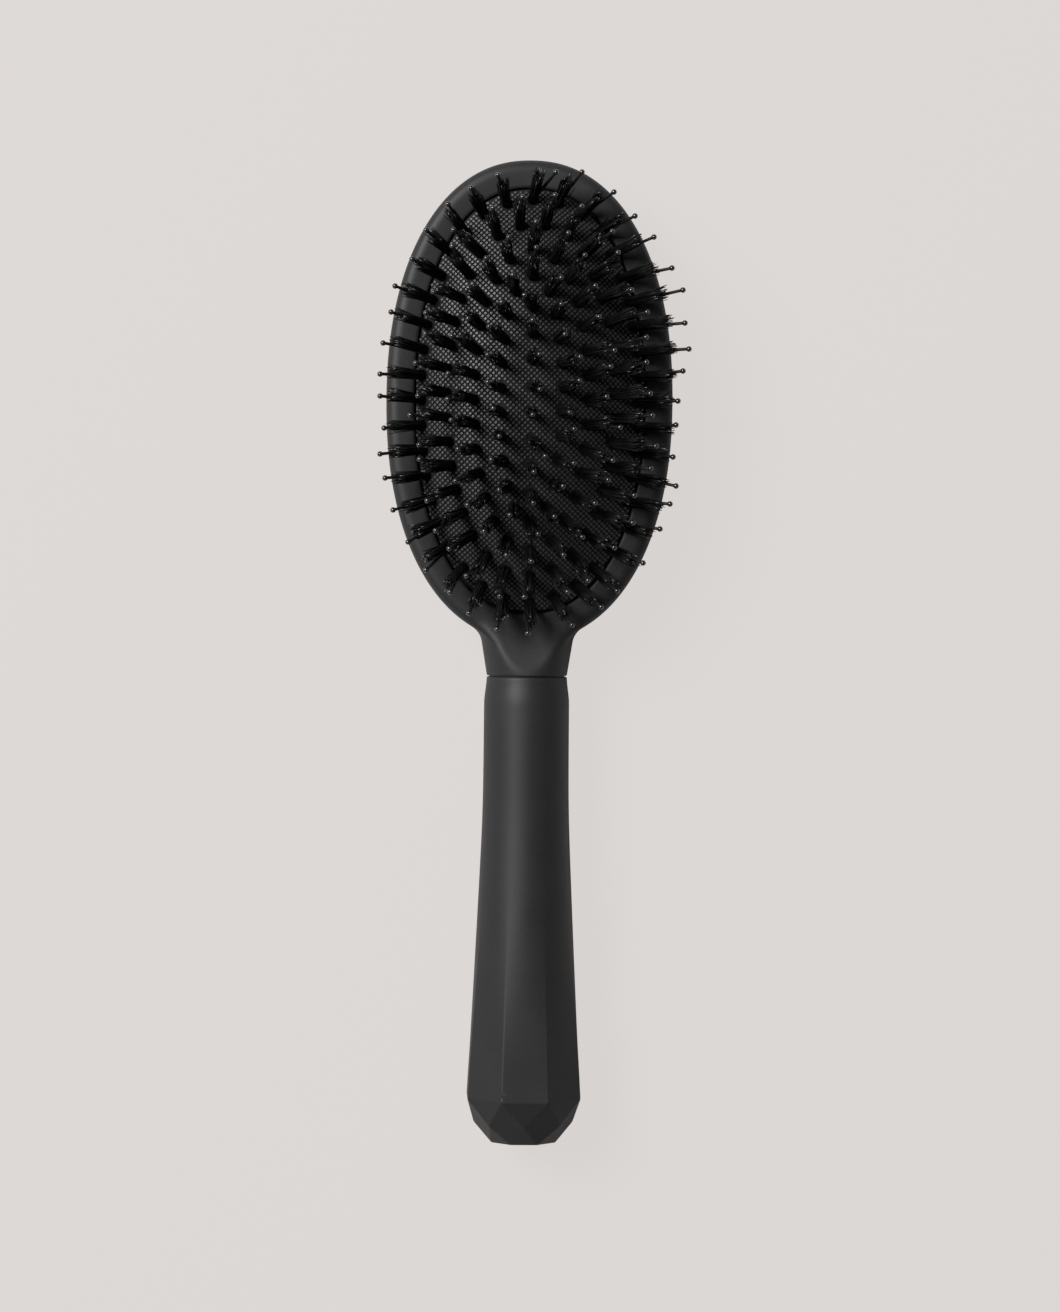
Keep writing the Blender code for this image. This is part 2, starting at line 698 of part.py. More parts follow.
def build_centre_row(parts, cutters):
    """Build the straight row of tufts along the crown."""
    templates = strand_templates()
    material = new_material("centre bristle black", (0.016, 0.016, 0.017), 0.38)
    row = new_row("row_centre", parts)
    rings = [centre_ring(0, STRIP_THICKNESS), centre_ring(0, 0)]
    strip = place(lofted("tufts_centre", rings), parts, material=material)
    strip.parent = row
    tufts = []
    for i in range(CENTRE_TUFT_COUNT):
        y = CENTRE_ROW_HALF_LENGTH * (2 * i / (CENTRE_TUFT_COUNT - 1) - 1)
        point = Vector((0, y))
        tufts.append((on_dome(point), Vector((1, 0, 0)), dome_normal(0, y)))
    fuse_tufts(strip, tufts, templates, CENTRE_BRISTLE_COUNT, cutters)


def build_pad(parts):
    """Build the domed rubber pad."""
    material = new_material("pad rubber", (0.012, 0.012, 0.013), 0.6)
    place(pad_body(), parts, (0, HEAD_CENTRE_Y, RIM_HEIGHT), material=material)


def main():
    """Build the brush."""
    clear_scene()
    parts = new_collection("cushion_brush")
    cutters = new_collection("cutters", shown=False)
    build_head(parts, cutters)
    build_handle(parts, cutters)
    build_pad(parts)
    build_ring_rows(parts, cutters)
    build_centre_row(parts, cutters)


main()
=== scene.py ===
"""Looks of an oval cushion hair brush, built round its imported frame.

The brush lies on its back: bristles up (+Z), head towards +Y, handle towards -Y.
Lengths are in metres and angles in radians, unless a name says otherwise.  Each
sub-assembly is a class that holds its sizes and builds its own meshes: the head's
moulding, the handle, the rubber pad and the rows of tufts.  The finishes are small
classes that build procedural materials.
"""

import json
import logging
import math
import random
from bisect import bisect_left
from dataclasses import dataclass
from enum import Enum
from typing import Callable, Optional, Sequence, Union

import bmesh
import bpy
from mathutils import Euler, Matrix, Vector


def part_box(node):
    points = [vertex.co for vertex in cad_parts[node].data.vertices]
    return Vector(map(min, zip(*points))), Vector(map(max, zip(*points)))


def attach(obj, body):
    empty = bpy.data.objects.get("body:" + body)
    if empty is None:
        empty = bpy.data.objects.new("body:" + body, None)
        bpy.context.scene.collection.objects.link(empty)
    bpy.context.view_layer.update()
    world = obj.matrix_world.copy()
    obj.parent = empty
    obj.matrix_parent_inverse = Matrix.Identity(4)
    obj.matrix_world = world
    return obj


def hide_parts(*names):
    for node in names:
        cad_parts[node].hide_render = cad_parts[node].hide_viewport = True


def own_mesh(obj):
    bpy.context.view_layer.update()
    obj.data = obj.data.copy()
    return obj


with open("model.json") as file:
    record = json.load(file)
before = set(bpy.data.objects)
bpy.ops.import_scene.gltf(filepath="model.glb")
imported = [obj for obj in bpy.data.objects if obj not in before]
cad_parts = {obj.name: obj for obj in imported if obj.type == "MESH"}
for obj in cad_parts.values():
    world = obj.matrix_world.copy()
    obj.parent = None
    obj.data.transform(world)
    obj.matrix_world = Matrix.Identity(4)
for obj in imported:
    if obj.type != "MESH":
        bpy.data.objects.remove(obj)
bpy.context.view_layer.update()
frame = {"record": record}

LOG = logging.getLogger("cushion_brush")

Number = Union[int, float]
Pair = tuple[float, float]
Colour = tuple[float, float, float]
Ring = list[Vector]


# Helpers for numbers and meshes

def ease(share: float) -> float:
    """Return a share between 0 and 1 that starts and ends gently."""
    share = min(max(share, 0.0), 1.0)
    return share * share * (3 - 2 * share)


def soft_max(first: float, second: float, reach: float) -> float:
    """Return the larger value, lifted by up to a quarter of a reach where both are near."""
    near = max(reach - abs(first - second), 0.0) / reach
    return max(first, second) + near * near * reach / 4


def soft_min(first: float, second: float, reach: float) -> float:
    """Return the smaller value, lowered in the same way."""
    return -soft_max(-first, -second, reach)


def new_piece(name: str, mesh: bpy.types.Mesh) -> bpy.types.Object:
    """Put a mesh in the scene as an object at the origin.

    Args:
        name: the object's name.
        mesh: the mesh.

    Returns:
        The object.
    """
    piece = bpy.data.objects.new(name, mesh)
    bpy.context.scene.collection.objects.link(piece)
    return piece


def plain_mesh(blank: bpy.types.Object, name: str) -> bpy.types.Mesh:
    """Take the mesh that an object's modifiers make.

    Args:
        blank: the object, which is removed.
        name: the new mesh's name.

    Returns:
        The plain mesh.
    """
    graph = bpy.context.evaluated_depsgraph_get()
    mesh = bpy.data.meshes.new_from_object(blank.evaluated_get(graph))
    mesh.name = name
    blank.modifiers.clear()
    bpy.data.objects.remove(blank, do_unlink=True)
    return mesh


def mesh_from(shape: bmesh.types.BMesh, name: str, sharp_degrees: Optional[float] = None) -> bpy.types.Mesh:
    """Turn a closed bmesh into a smooth mesh with its faces pointing out.

    Args:
        shape: the bmesh, which is freed.
        name: the mesh's name.
        sharp_degrees: the angle from which an edge stays sharp, or none.

    Returns:
        The mesh.
    """
    bmesh.ops.recalc_face_normals(shape, faces=shape.faces)
    mesh = bpy.data.meshes.new(name)
    shape.to_mesh(mesh)
    shape.free()
    mesh.shade_smooth()
    if sharp_degrees:
        mesh.set_sharp_from_angle(angle=math.radians(sharp_degrees))
    return mesh


def bridge(shape: bmesh.types.BMesh, rings: Sequence[Sequence], closed: bool = True) -> list[list]:
    """Add rings of equally many points, with faces between neighbours.

    Args:
        shape: the bmesh that is added to.
        rings: the rings' points.
        closed: True when each ring's end meets its start.

    Returns:
        The rings' vertices.
    """
    loops = [[shape.verts.new(point) for point in ring] for ring in rings]
    for lower, upper in zip(loops, loops[1:]):
        count = len(lower)
        for i in range(count if closed else count - 1):
            j = (i + 1) % count
            shape.faces.new((lower[i], lower[j], upper[j], upper[i]))
    return loops


def ladder_cap(shape: bmesh.types.BMesh, loop: Sequence) -> None:
    """Close a ring with faces that run straight across it, like rungs.

    Args:
        shape: the bmesh that is added to.
        loop: the ring's vertices.
    """
    for i in range(len(loop) // 2):
        corners = [loop[i], loop[i + 1], loop[-i - 1], loop[-i]]
        shape.faces.new(list(dict.fromkeys(corners)))


# Node trees drawn in Python

def maths(operation: str, swapped: bool = False) -> Callable[["Socket", "Operand"], "Socket"]:
    """Make a method of two operands that adds its Math or Vector Math node.

    Args:
        operation: the node's operation.
        swapped: True when the method's own socket comes second.

    Returns:
        The method.
    """
    def combine(self: "Socket", other: "Operand") -> "Socket":
        """Add the operation's node.

        Args:
            other: the other operand.

        Returns:
            The node's result.
        """
        pair = (other, self) if swapped else (self, other)
        wide = any(isinstance(v, tuple) or (isinstance(v, Socket) and v.is_wide) for v in pair)
        if wide:
            pair = tuple((v, v, v) if isinstance(v, (int, float)) else v for v in pair)
        kind = "ShaderNodeVectorMath" if wide else "ShaderNodeMath"
        return self.sketch.add(kind, {"operation": operation}, {0: pair[0], 1: pair[1]})

    return combine


class Socket:
    """An output socket that takes part in Python arithmetic."""

    __add__ = maths("ADD")
    __radd__ = maths("ADD", swapped=True)
    __sub__ = maths("SUBTRACT")
    __rsub__ = maths("SUBTRACT", swapped=True)
    __mul__ = maths("MULTIPLY")
    __rmul__ = maths("MULTIPLY", swapped=True)
    __truediv__ = maths("DIVIDE")
    __rtruediv__ = maths("DIVIDE", swapped=True)
    __pow__ = maths("POWER")
    __rpow__ = maths("POWER", swapped=True)
    below = maths("LESS_THAN")
    above = maths("GREATER_THAN")
    cross = maths("CROSS_PRODUCT")

    def __init__(self, sketch: "Sketch", socket: bpy.types.NodeSocket) -> None:
        """Wrap a socket of a sketch's tree."""
        self.sketch = sketch
        self.socket = socket

    @property
    def is_wide(self) -> bool:
        """Tell whether the socket carries a vector or a colour."""
        return self.socket.type in {"VECTOR", "RGBA"}

    def apply(self, operation: str) -> "Socket":
        """Return a Math function of this one value, such as SINE or SQRT."""
        return self.sketch.add("ShaderNodeMath", {"operation": operation}, {0: self})

    def part(self, axis: str) -> "Socket":
        """Return the X, Y or Z part of a vector."""
        return self.sketch.add("ShaderNodeSeparateXYZ", {}, {"Vector": self}, axis)


Operand = Union[Number, tuple, Socket]


class Sketch:
    """A node tree that is drawn in Python, for a material or for geometry."""

    def __init__(self, tree: bpy.types.NodeTree) -> None:
        """Start on a tree."""
        self.tree = tree

    @staticmethod
    def pick(sockets: Sequence, key: Union[int, str]) -> bpy.types.NodeSocket:
        """Find a socket by its place, or by its name among those in use.

        Args:
            sockets: a node's inputs or outputs.
            key: the place or the name.

        Returns:
            The socket.
        """
        if isinstance(key, int):
            return sockets[key]
        return next(s for s in sockets if s.name == key and s.enabled)

    def add(
        self,
        kind: str,
        settings: Optional[dict] = None,
        inputs: Optional[dict] = None,
        output: Union[int, str] = 0,
    ) -> Socket:
        """Add a node, set it up, and feed its sockets.

        Args:
            kind: the node's type.
            settings: the node's properties, which are set first; stops holds a
                ramp's (position, grey level) pairs.
            inputs: values or links by socket name or place; a list feeds a
                socket that takes several links.
            output: the name or place of the output that is returned.

        Returns:
            The chosen output.
        """
        node = self.tree.nodes.new(kind)
        for name, value in (settings or {}).items():
            if name == "stops":
                for element, (position, level) in zip(node.color_ramp.elements, value):
                    element.position = position
                    element.color = (level, level, level, 1)
            else:
                setattr(node, name, value)
        for key, value in (inputs or {}).items():
            socket = self.pick(node.inputs, key)
            for item in value if isinstance(value, list) else [value]:
                if isinstance(item, Socket):
                    self.tree.links.new(item.socket, socket)
                else:
                    socket.default_value = item
        return Socket(self, self.pick(node.outputs, output))

    def vector(self, x: Operand, y: Operand, z: Operand) -> Socket:
        """Return a vector of three values."""
        return self.add("ShaderNodeCombineXYZ", {}, {"X": x, "Y": y, "Z": z})

    def end(self, kind: str, result: Socket) -> None:
        """Link a result to the first socket of an output node."""
        self.tree.links.new(result.socket, self.tree.nodes.new(kind).inputs[0])


class MaterialSketch(Sketch):
    """A material's node tree, with the few patterns that the finishes share."""

    def __init__(self, name: str) -> None:
        """Start an empty material.

        Args:
            name: the material's name.
        """
        self.material = bpy.data.materials.new(name)
        self.material.use_nodes = True
        super().__init__(self.material.node_tree)
        self.tree.nodes.clear()
        self.place = self.add("ShaderNodeTexCoord", {}, {}, "Object")

    def noise(self, size: float, detail: float = 2.0, roughness: float = 0.5) -> Socket:
        """Return noise between 0 and 1 whose lumps have a real size."""
        inputs = {"Vector": self.place, "Scale": 1 / size, "Detail": detail, "Roughness": roughness}
        return self.add("ShaderNodeTexNoise", {}, inputs)

    def attribute(self, name: str) -> Socket:
        """Return a number that is stored on the mesh's points."""
        return self.add("ShaderNodeAttribute", {"attribute_name": name}, {}, "Fac")

    def ramp(self, value: Socket, low: float, high: float) -> Socket:
        """Stretch a value so that low becomes 0 and high becomes 1, with ends held."""
        inputs = {"Value": value, "From Min": low, "From Max": high}
        return self.add("ShaderNodeMapRange", {"clamp": True}, inputs, "Result")

    def blend(self, share: Operand, first: Union[Socket, Colour], second: Colour) -> Socket:
        """Mix two colours.

        Args:
            share: how much of the second colour there is.
            first: a colour, or the link that brings one.
            second: a colour.

        Returns:
            The mixed colour.
        """
        start = first if isinstance(first, Socket) else (*first, 1)
        inputs = {"Factor": share, "A": start, "B": (*second, 1)}
        return self.add("ShaderNodeMix", {"data_type": "RGBA"}, inputs, "Result")

    def relief(self, height: Socket, depth: float, under: Optional[Socket] = None) -> Socket:
        """Return the bumped normal of a height between 0 and 1.

        Args:
            height: the height's pattern.
            depth: how high 1 stands above 0, in metres.
            under: the normal of a coarser relief under this one.

        Returns:
            The normal.
        """
        inputs = {"Height": height, "Distance": depth, "Strength": 1.0}
        if under:
            inputs["Normal"] = under
        return self.add("ShaderNodeBump", {}, inputs)

    def surface(self, inputs: dict) -> bpy.types.Material:
        """Finish the material with a Principled shader's values and links."""
        self.end("ShaderNodeOutputMaterial", self.add("ShaderNodeBsdfPrincipled", {}, inputs, "BSDF"))
        return self.material


class GeometrySketch(Sketch):
    """A Geometry Nodes tree with named inputs, ended in the same way each time."""

    def __init__(self, name: str, inputs: dict[str, Union[Number, bpy.types.Material]]) -> None:
        """Start a tree.

        Args:
            name: the tree's name.
            inputs: each input's value, by the input's name.
        """
        super().__init__(bpy.data.node_groups.new(name, "GeometryNodeTree"))
        self.tree.is_modifier = True
        self.values = {}
        sides = self.tree.interface
        sides.new_socket("Geometry", in_out="INPUT", socket_type="NodeSocketGeometry")
        for label, value in inputs.items():
            kind = "Int" if isinstance(value, int) else "Float"
            if isinstance(value, bpy.types.Material):
                kind = "Material"
            socket = sides.new_socket(label, in_out="INPUT", socket_type="NodeSocket" + kind)
            self.values[socket.identifier] = value
        sides.new_socket("Geometry", in_out="OUTPUT", socket_type="NodeSocketGeometry")
        self.entry = self.tree.nodes.new("NodeGroupInput")

    def input(self, label: str) -> Socket:
        """Return a named input of the tree."""
        return Socket(self, self.entry.outputs[label])

    def position(self) -> Socket:
        """Return each point's place."""
        return self.add("GeometryNodeInputPosition")

    def shape_of(self, item: bpy.types.Object) -> Socket:
        """Return another object's geometry."""
        return self.add("GeometryNodeObjectInfo", {}, {"Object": item}, "Geometry")

    def store(self, geometry: Socket, name: str, value: Operand) -> Socket:
        """Store a value on a geometry's points.

        Args:
            geometry: the geometry.
            name: the name that it is stored under.
            value: a number, or a link that brings a number or a vector.

        Returns:
            The geometry with the value.
        """
        wide = isinstance(value, Socket) and value.is_wide
        settings = {"data_type": "FLOAT_VECTOR" if wide else "FLOAT"}
        inputs = {"Geometry": geometry, "Name": name, "Value": value}
        return self.add("GeometryNodeStoreNamedAttribute", settings, inputs)

    def attribute(self, name: str, kind: str = "FLOAT_VECTOR") -> Socket:
        """Return what is stored on the geometry's points under a name."""
        return self.add("GeometryNodeInputNamedAttribute", {"data_type": kind}, {"Name": name}, "Attribute")

    def random(self, low: float, high: float, seed: int) -> Socket:
        """Return a random number for each point, with a fixed seed."""
        inputs = {"Min": low, "Max": high, "Seed": seed}
        return self.add("FunctionNodeRandomValue", {"data_type": "FLOAT"}, inputs, "Value")

    def upright_on(self, name: str) -> Socket:
        """Return the turn that stands Z along a stored direction."""
        way = self.attribute(name)
        return self.add("FunctionNodeAlignRotationToVector", {"axis": "Z"}, {"Vector": way})

    def copies(self, points: Socket, item: Socket, turn: Socket, **more: Socket) -> Socket:
        """Set a turned copy of an item on each point."""
        inputs = {"Points": points, "Instance": item, "Rotation": turn, **more}
        return self.add("GeometryNodeInstanceOnPoints", {}, inputs)

    def close(self, geometry: Socket, material_label: str) -> None:
        """End the tree: smooth shading, real copies, one material, output.

        Args:
            geometry: what the tree has made.
            material_label: the name of the input that holds the material.
        """
        smooth = self.add("GeometryNodeSetShadeSmooth", {}, {"Geometry": geometry})
        real = self.add("GeometryNodeRealizeInstances", {}, {"Geometry": smooth})
        inputs = {"Geometry": real, "Material": self.input(material_label)}
        self.end("NodeGroupOutput", self.add("GeometryNodeSetMaterial", {}, inputs))

    def grow(self, blank: bpy.types.Object, name: str) -> bpy.types.Mesh:
        """Run the tree on an object.

        Args:
            blank: the object that the tree starts from, which is removed.
            name: the new mesh's name.

        Returns:
            The plain mesh that the tree makes, with its faces pointing out.
        """
        modifier = blank.modifiers.new(self.tree.name, "NODES")
        modifier.node_group = self.tree
        for identifier, value in self.values.items():
            modifier[identifier] = value
        mesh = plain_mesh(blank, name)
        shape = bmesh.new()
        shape.from_mesh(mesh)
        bmesh.ops.recalc_face_normals(shape, faces=shape.faces)
        shape.to_mesh(mesh)
        shape.free()
        return mesh


# Finishes

@dataclass(frozen=True)
class MouldedPlastic:
    """Satin black moulding with a fine eroded grain and slight cloudiness."""

    name: str
    colour: Colour
    sheen_colour: Colour
    roughness: float
    roughness_play: float = 0.10
    refraction: float = 1.46
    tint_share: float = 0.35
    grain_size: float = 0.00022
    grain_depth: float = 0.000006
    speck_size: float = 0.000506
    speck_range: Pair = (0.44, 0.62)
    cloud_size: float = 0.012
    cloud_range: Pair = (0.35, 0.7)
    wave_size: float = 0.030
    wave_depth: float = 0.00004

    def build(self) -> bpy.types.Material:
        """Build the material.

        Returns:
            The finished material.
        """
        sketch = MaterialSketch(self.name)
        grain = sketch.noise(self.grain_size, detail=3, roughness=0.6)
        cloud = sketch.noise(self.cloud_size, detail=4, roughness=0.55)
        specks = sketch.ramp(sketch.noise(self.speck_size, detail=1), *self.speck_range)
        clouds = sketch.ramp(cloud, *self.cloud_range)
        wave = sketch.relief(sketch.noise(self.wave_size, detail=1), self.wave_depth)
        return sketch.surface({
            "Base Color": sketch.blend(self.tint_share * (clouds + specks), self.colour, self.sheen_colour),
            "Roughness": self.roughness + self.roughness_play * (cloud + grain - 1),
            "Normal": sketch.relief(grain, self.grain_depth, wave),
            "IOR": self.refraction,
        })


@dataclass(frozen=True)
class PadRubber:
    """Black rubber, dull and dark, glossier where its studs stand up, with painted light: the stud tops are
    coloured paler, which leaves painted shade on the floor between them.
    """

    name: str
    colour: Colour
    top_light_and_bloom_colour: Colour
    roughness: float
    roughness_play: float = 0.12
    refraction: float = 1.22
    coat_roughness: float = 0.51
    coat_refraction: float = 1.85
    coat_play: float = 0.3
    top_light_share: float = 0.60
    bloom_share: float = 0.25
    pore_share: float = 0.15
    bloom_size: float = 0.006
    bloom_range: Pair = (0.38, 0.72)
    pore_size: float = 0.00012
    pore_depth: float = 0.000004

    def build(self) -> bpy.types.Material:
        """Build the material.

        Returns:
            The finished material.
        """
        sketch = MaterialSketch(self.name)
        bloom = sketch.ramp(sketch.noise(self.bloom_size, detail=5, roughness=0.6), *self.bloom_range)
        pores = sketch.noise(self.pore_size, detail=2)
        raised = sketch.attribute("raised")
        # Painted light: stud tops get a paler colour by their height share, varied by bloom-like noise, so
        # the channels between studs hold painted shade
        tint = raised * (self.top_light_share + self.bloom_share * bloom) + self.pore_share * pores
        return sketch.surface({
            "Base Color": sketch.blend(tint, self.colour, self.top_light_and_bloom_colour),
            "Roughness": self.roughness + self.roughness_play * (pores - 0.5),
            "Normal": sketch.relief(pores, self.pore_depth),
            "IOR": self.refraction,
            "Coat Weight": raised * (1 - self.coat_play * (1 - pores)),
            "Coat Roughness": self.coat_roughness,
            "Coat IOR": self.coat_refraction,
        })


@dataclass(frozen=True)
class BristleFibre:
    """Dark fibre whose strands differ in tone; a few strands get a painted highlight, a pale colour at
    their cut ends that stands in for their glint.
    """

    name: str
    colour: Colour
    pale_colour: Colour
    roughness: float
    strand_play: float = 0.2
    band_play: float = 0.1
    refraction: float = 1.25
    band_size: float = 0.0011
    band_share: float = 0.3
    glint_share: float = 0.08
    glint_start: float = 0.88
    glint_colour: Colour = (0.32, 0.31, 0.30)

    def build(self) -> bpy.types.Material:
        """Build the material.

        Returns:
            The finished material.
        """
        sketch = MaterialSketch(self.name)
        strand = sketch.add("ShaderNodeNewGeometry", {}, {}, "Random Per Island")
        bands = sketch.noise(self.band_size, detail=2)
        end = sketch.ramp(sketch.attribute("tip"), self.glint_start, 1.0)
        tone = (1 - self.band_share) * strand + self.band_share * bands
        colour = sketch.blend(tone, self.colour, self.pale_colour)
        play = self.strand_play * (strand - 0.5) + self.band_play * (bands - 0.5)
        return sketch.surface({
            # Painted highlight: the cut ends of a few strands are coloured pale, standing in for the glint
            # of light on them
            "Base Color": sketch.blend(strand.above(1 - self.glint_share) * end, colour, self.glint_colour),
            "Roughness": self.roughness + play,
            "IOR": self.refraction,
        })


@dataclass(frozen=True)
class PinNylon:
    """Black nylon of the pins: a dull shaft, and a ball tip with a gloss of its own."""

    name: str
    colour: Colour
    scuffed_colour: Colour
    roughness: float
    roughness_play: float = 0.12
    refraction: float = 1.30
    gloss_roughness: float = 0.14
    gloss_refraction: float = 1.82
    scuff_size: float = 0.0009
    scuff_depth: float = 0.000003
    scuff_range: Pair = (0.45, 0.8)

    def build(self) -> bpy.types.Material:
        """Build the material.

        Returns:
            The finished material.
        """
        sketch = MaterialSketch(self.name)
        scuffs = sketch.noise(self.scuff_size, detail=3)
        return sketch.surface({
            "Base Color": sketch.blend(scuffs, self.colour, self.scuffed_colour),
            "Roughness": self.roughness + self.roughness_play * sketch.ramp(scuffs, *self.scuff_range),
            "Normal": sketch.relief(scuffs, self.scuff_depth),
            "IOR": self.refraction,
            "Coat Weight": sketch.attribute("ball"),
            "Coat Roughness": self.gloss_roughness,
            "Coat IOR": self.gloss_refraction,
        })


@dataclass(frozen=True)
class PaleCard:
    """Pale card under the brush: shaded softly, with part of its tone its own."""

    name: str
    colour: Colour
    own_share: float

    def build(self) -> bpy.types.Material:
        """Build the material.

        Returns:
            The finished material.
        """
        sketch = MaterialSketch(self.name)
        seen = sketch.add("ShaderNodeLightPath", {}, {}, "Is Camera Ray")
        card = sketch.add("ShaderNodeBsdfDiffuse", {}, {"Color": (*self.colour, 1)}, "BSDF")
        glow = sketch.add("ShaderNodeEmission", {}, {"Color": (*self.colour, 1), "Strength": 1.0})
        mixed = sketch.add("ShaderNodeMixShader", {}, {0: seen * self.own_share, 1: card, 2: glow})
        sketch.end("ShaderNodeOutputMaterial", mixed)
        return sketch.material


class Finish(Enum):
    """The finishes of the brush's surfaces."""

    SHELL = MouldedPlastic("shell_satin_black", (0.018, 0.018, 0.019), (0.027, 0.027, 0.028), 0.54)
    GRIP = MouldedPlastic("grip_satin_black", (0.018, 0.018, 0.019), (0.027, 0.027, 0.028), 0.52)
    # The pad's paler second colour is painted light on the stud tops, mixed with bloom-like variation
    PAD = PadRubber("pad_black_rubber", (0.013, 0.013, 0.014), (0.037, 0.037, 0.038), 0.66)
    FIBRE = BristleFibre("bristle_black_fibre", (0.010, 0.010, 0.010), (0.019, 0.018, 0.0175), 0.60)
    PIN = PinNylon("pin_polished_black", (0.006, 0.006, 0.006), (0.0096, 0.0096, 0.0096), 0.42)
    CARD = PaleCard("pale_card", (0.730, 0.697, 0.676), 0.93)

    def material(self) -> bpy.types.Material:
        """Return the finish's material, built when it is first asked for."""
        return bpy.data.materials.get(self.value.name) or self.value.build()


# Forms and places

@dataclass(frozen=True)
class Oval:
    """A superellipse about the head's centre, with its handle end at -Y."""

    half_width: float
    half_length: float
    power: float = 2.2
    track_steps: int = 24

    def at(self, angle: float) -> Vector:
        """Return the flat point at an angle from the handle end.

        Args:
            angle: the angle, which grows towards +X.

        Returns:
            The point.
        """
        side, along = math.sin(angle), -math.cos(angle)
        x = math.copysign(abs(side) ** (2 / self.power), side) * self.half_width
        y = math.copysign(abs(along) ** (2 / self.power), along) * self.half_length
        return Vector((x, y))

    def even(self, count: int) -> Ring:
        """Return flat points at equal steps along the oval, from the handle end.

        Args:
            count: how many points.

        Returns:
            The points.
        """
        fine = count * self.track_steps
        track = [self.at(math.tau * i / fine) for i in range(fine + 1)]
        run = [0.0]
        for before, after in zip(track, track[1:]):
            run.append(run[-1] + (after - before).length)
        points = []
        for i in range(count):
            target = i / count * run[-1]
            j = bisect_left(run, target, 1) - 1
            points.append(track[j].lerp(track[j + 1], (target - run[j]) / (run[j + 1] - run[j])))
        return points

    def ring(self, count: int, height: float) -> Ring:
        """Return points at equal steps along the oval, all at one height."""
        return [Vector((p.x, p.y, height)) for p in self.even(count)]

    def size_at(self, x: float, y: float) -> float:
        """Return 0 at the centre, 1 on the oval, and more outside."""
        spread = abs(x / self.half_width) ** self.power + abs(y / self.half_length) ** self.power
        return spread ** (1 / self.power)

    def shrunk(self, inset: float) -> "Oval":
        """Return the oval with both half sizes smaller by an inset."""
        return Oval(self.half_width - inset, self.half_length - inset, self.power)

    def scaled(self, share: float) -> "Oval":
        """Return the oval with both half sizes times a share."""
        return Oval(self.half_width * share, self.half_length * share, self.power)


@dataclass
class Seat:
    """Where the brush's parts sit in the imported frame.

    The sizes are the solids' own: the gap between parts that meet, the rim's
    lip, and the pad's flange, which lies under it.
    """

    clearance: float = 0.0003
    lip_thickness: float = 0.0020
    flange_thickness: float = 0.0016

    def __post_init__(self) -> None:
        """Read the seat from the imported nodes' boxes."""
        pad_low, pad_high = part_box("cushion_pad")
        self.handle_low, self.handle_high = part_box("handle")
        self.skirt_depth = self.lip_thickness + self.clearance
        self.rim_height = pad_low.z + self.skirt_depth + self.flange_thickness
        self.head_centre = Vector((0, (pad_low.y + pad_high.y) / 2, self.rim_height))
        self.axis_height = (self.handle_low.z + self.handle_high.z) / 2
        self.neck_end_y = self.handle_high.y + self.clearance


# The head's moulding and the handle

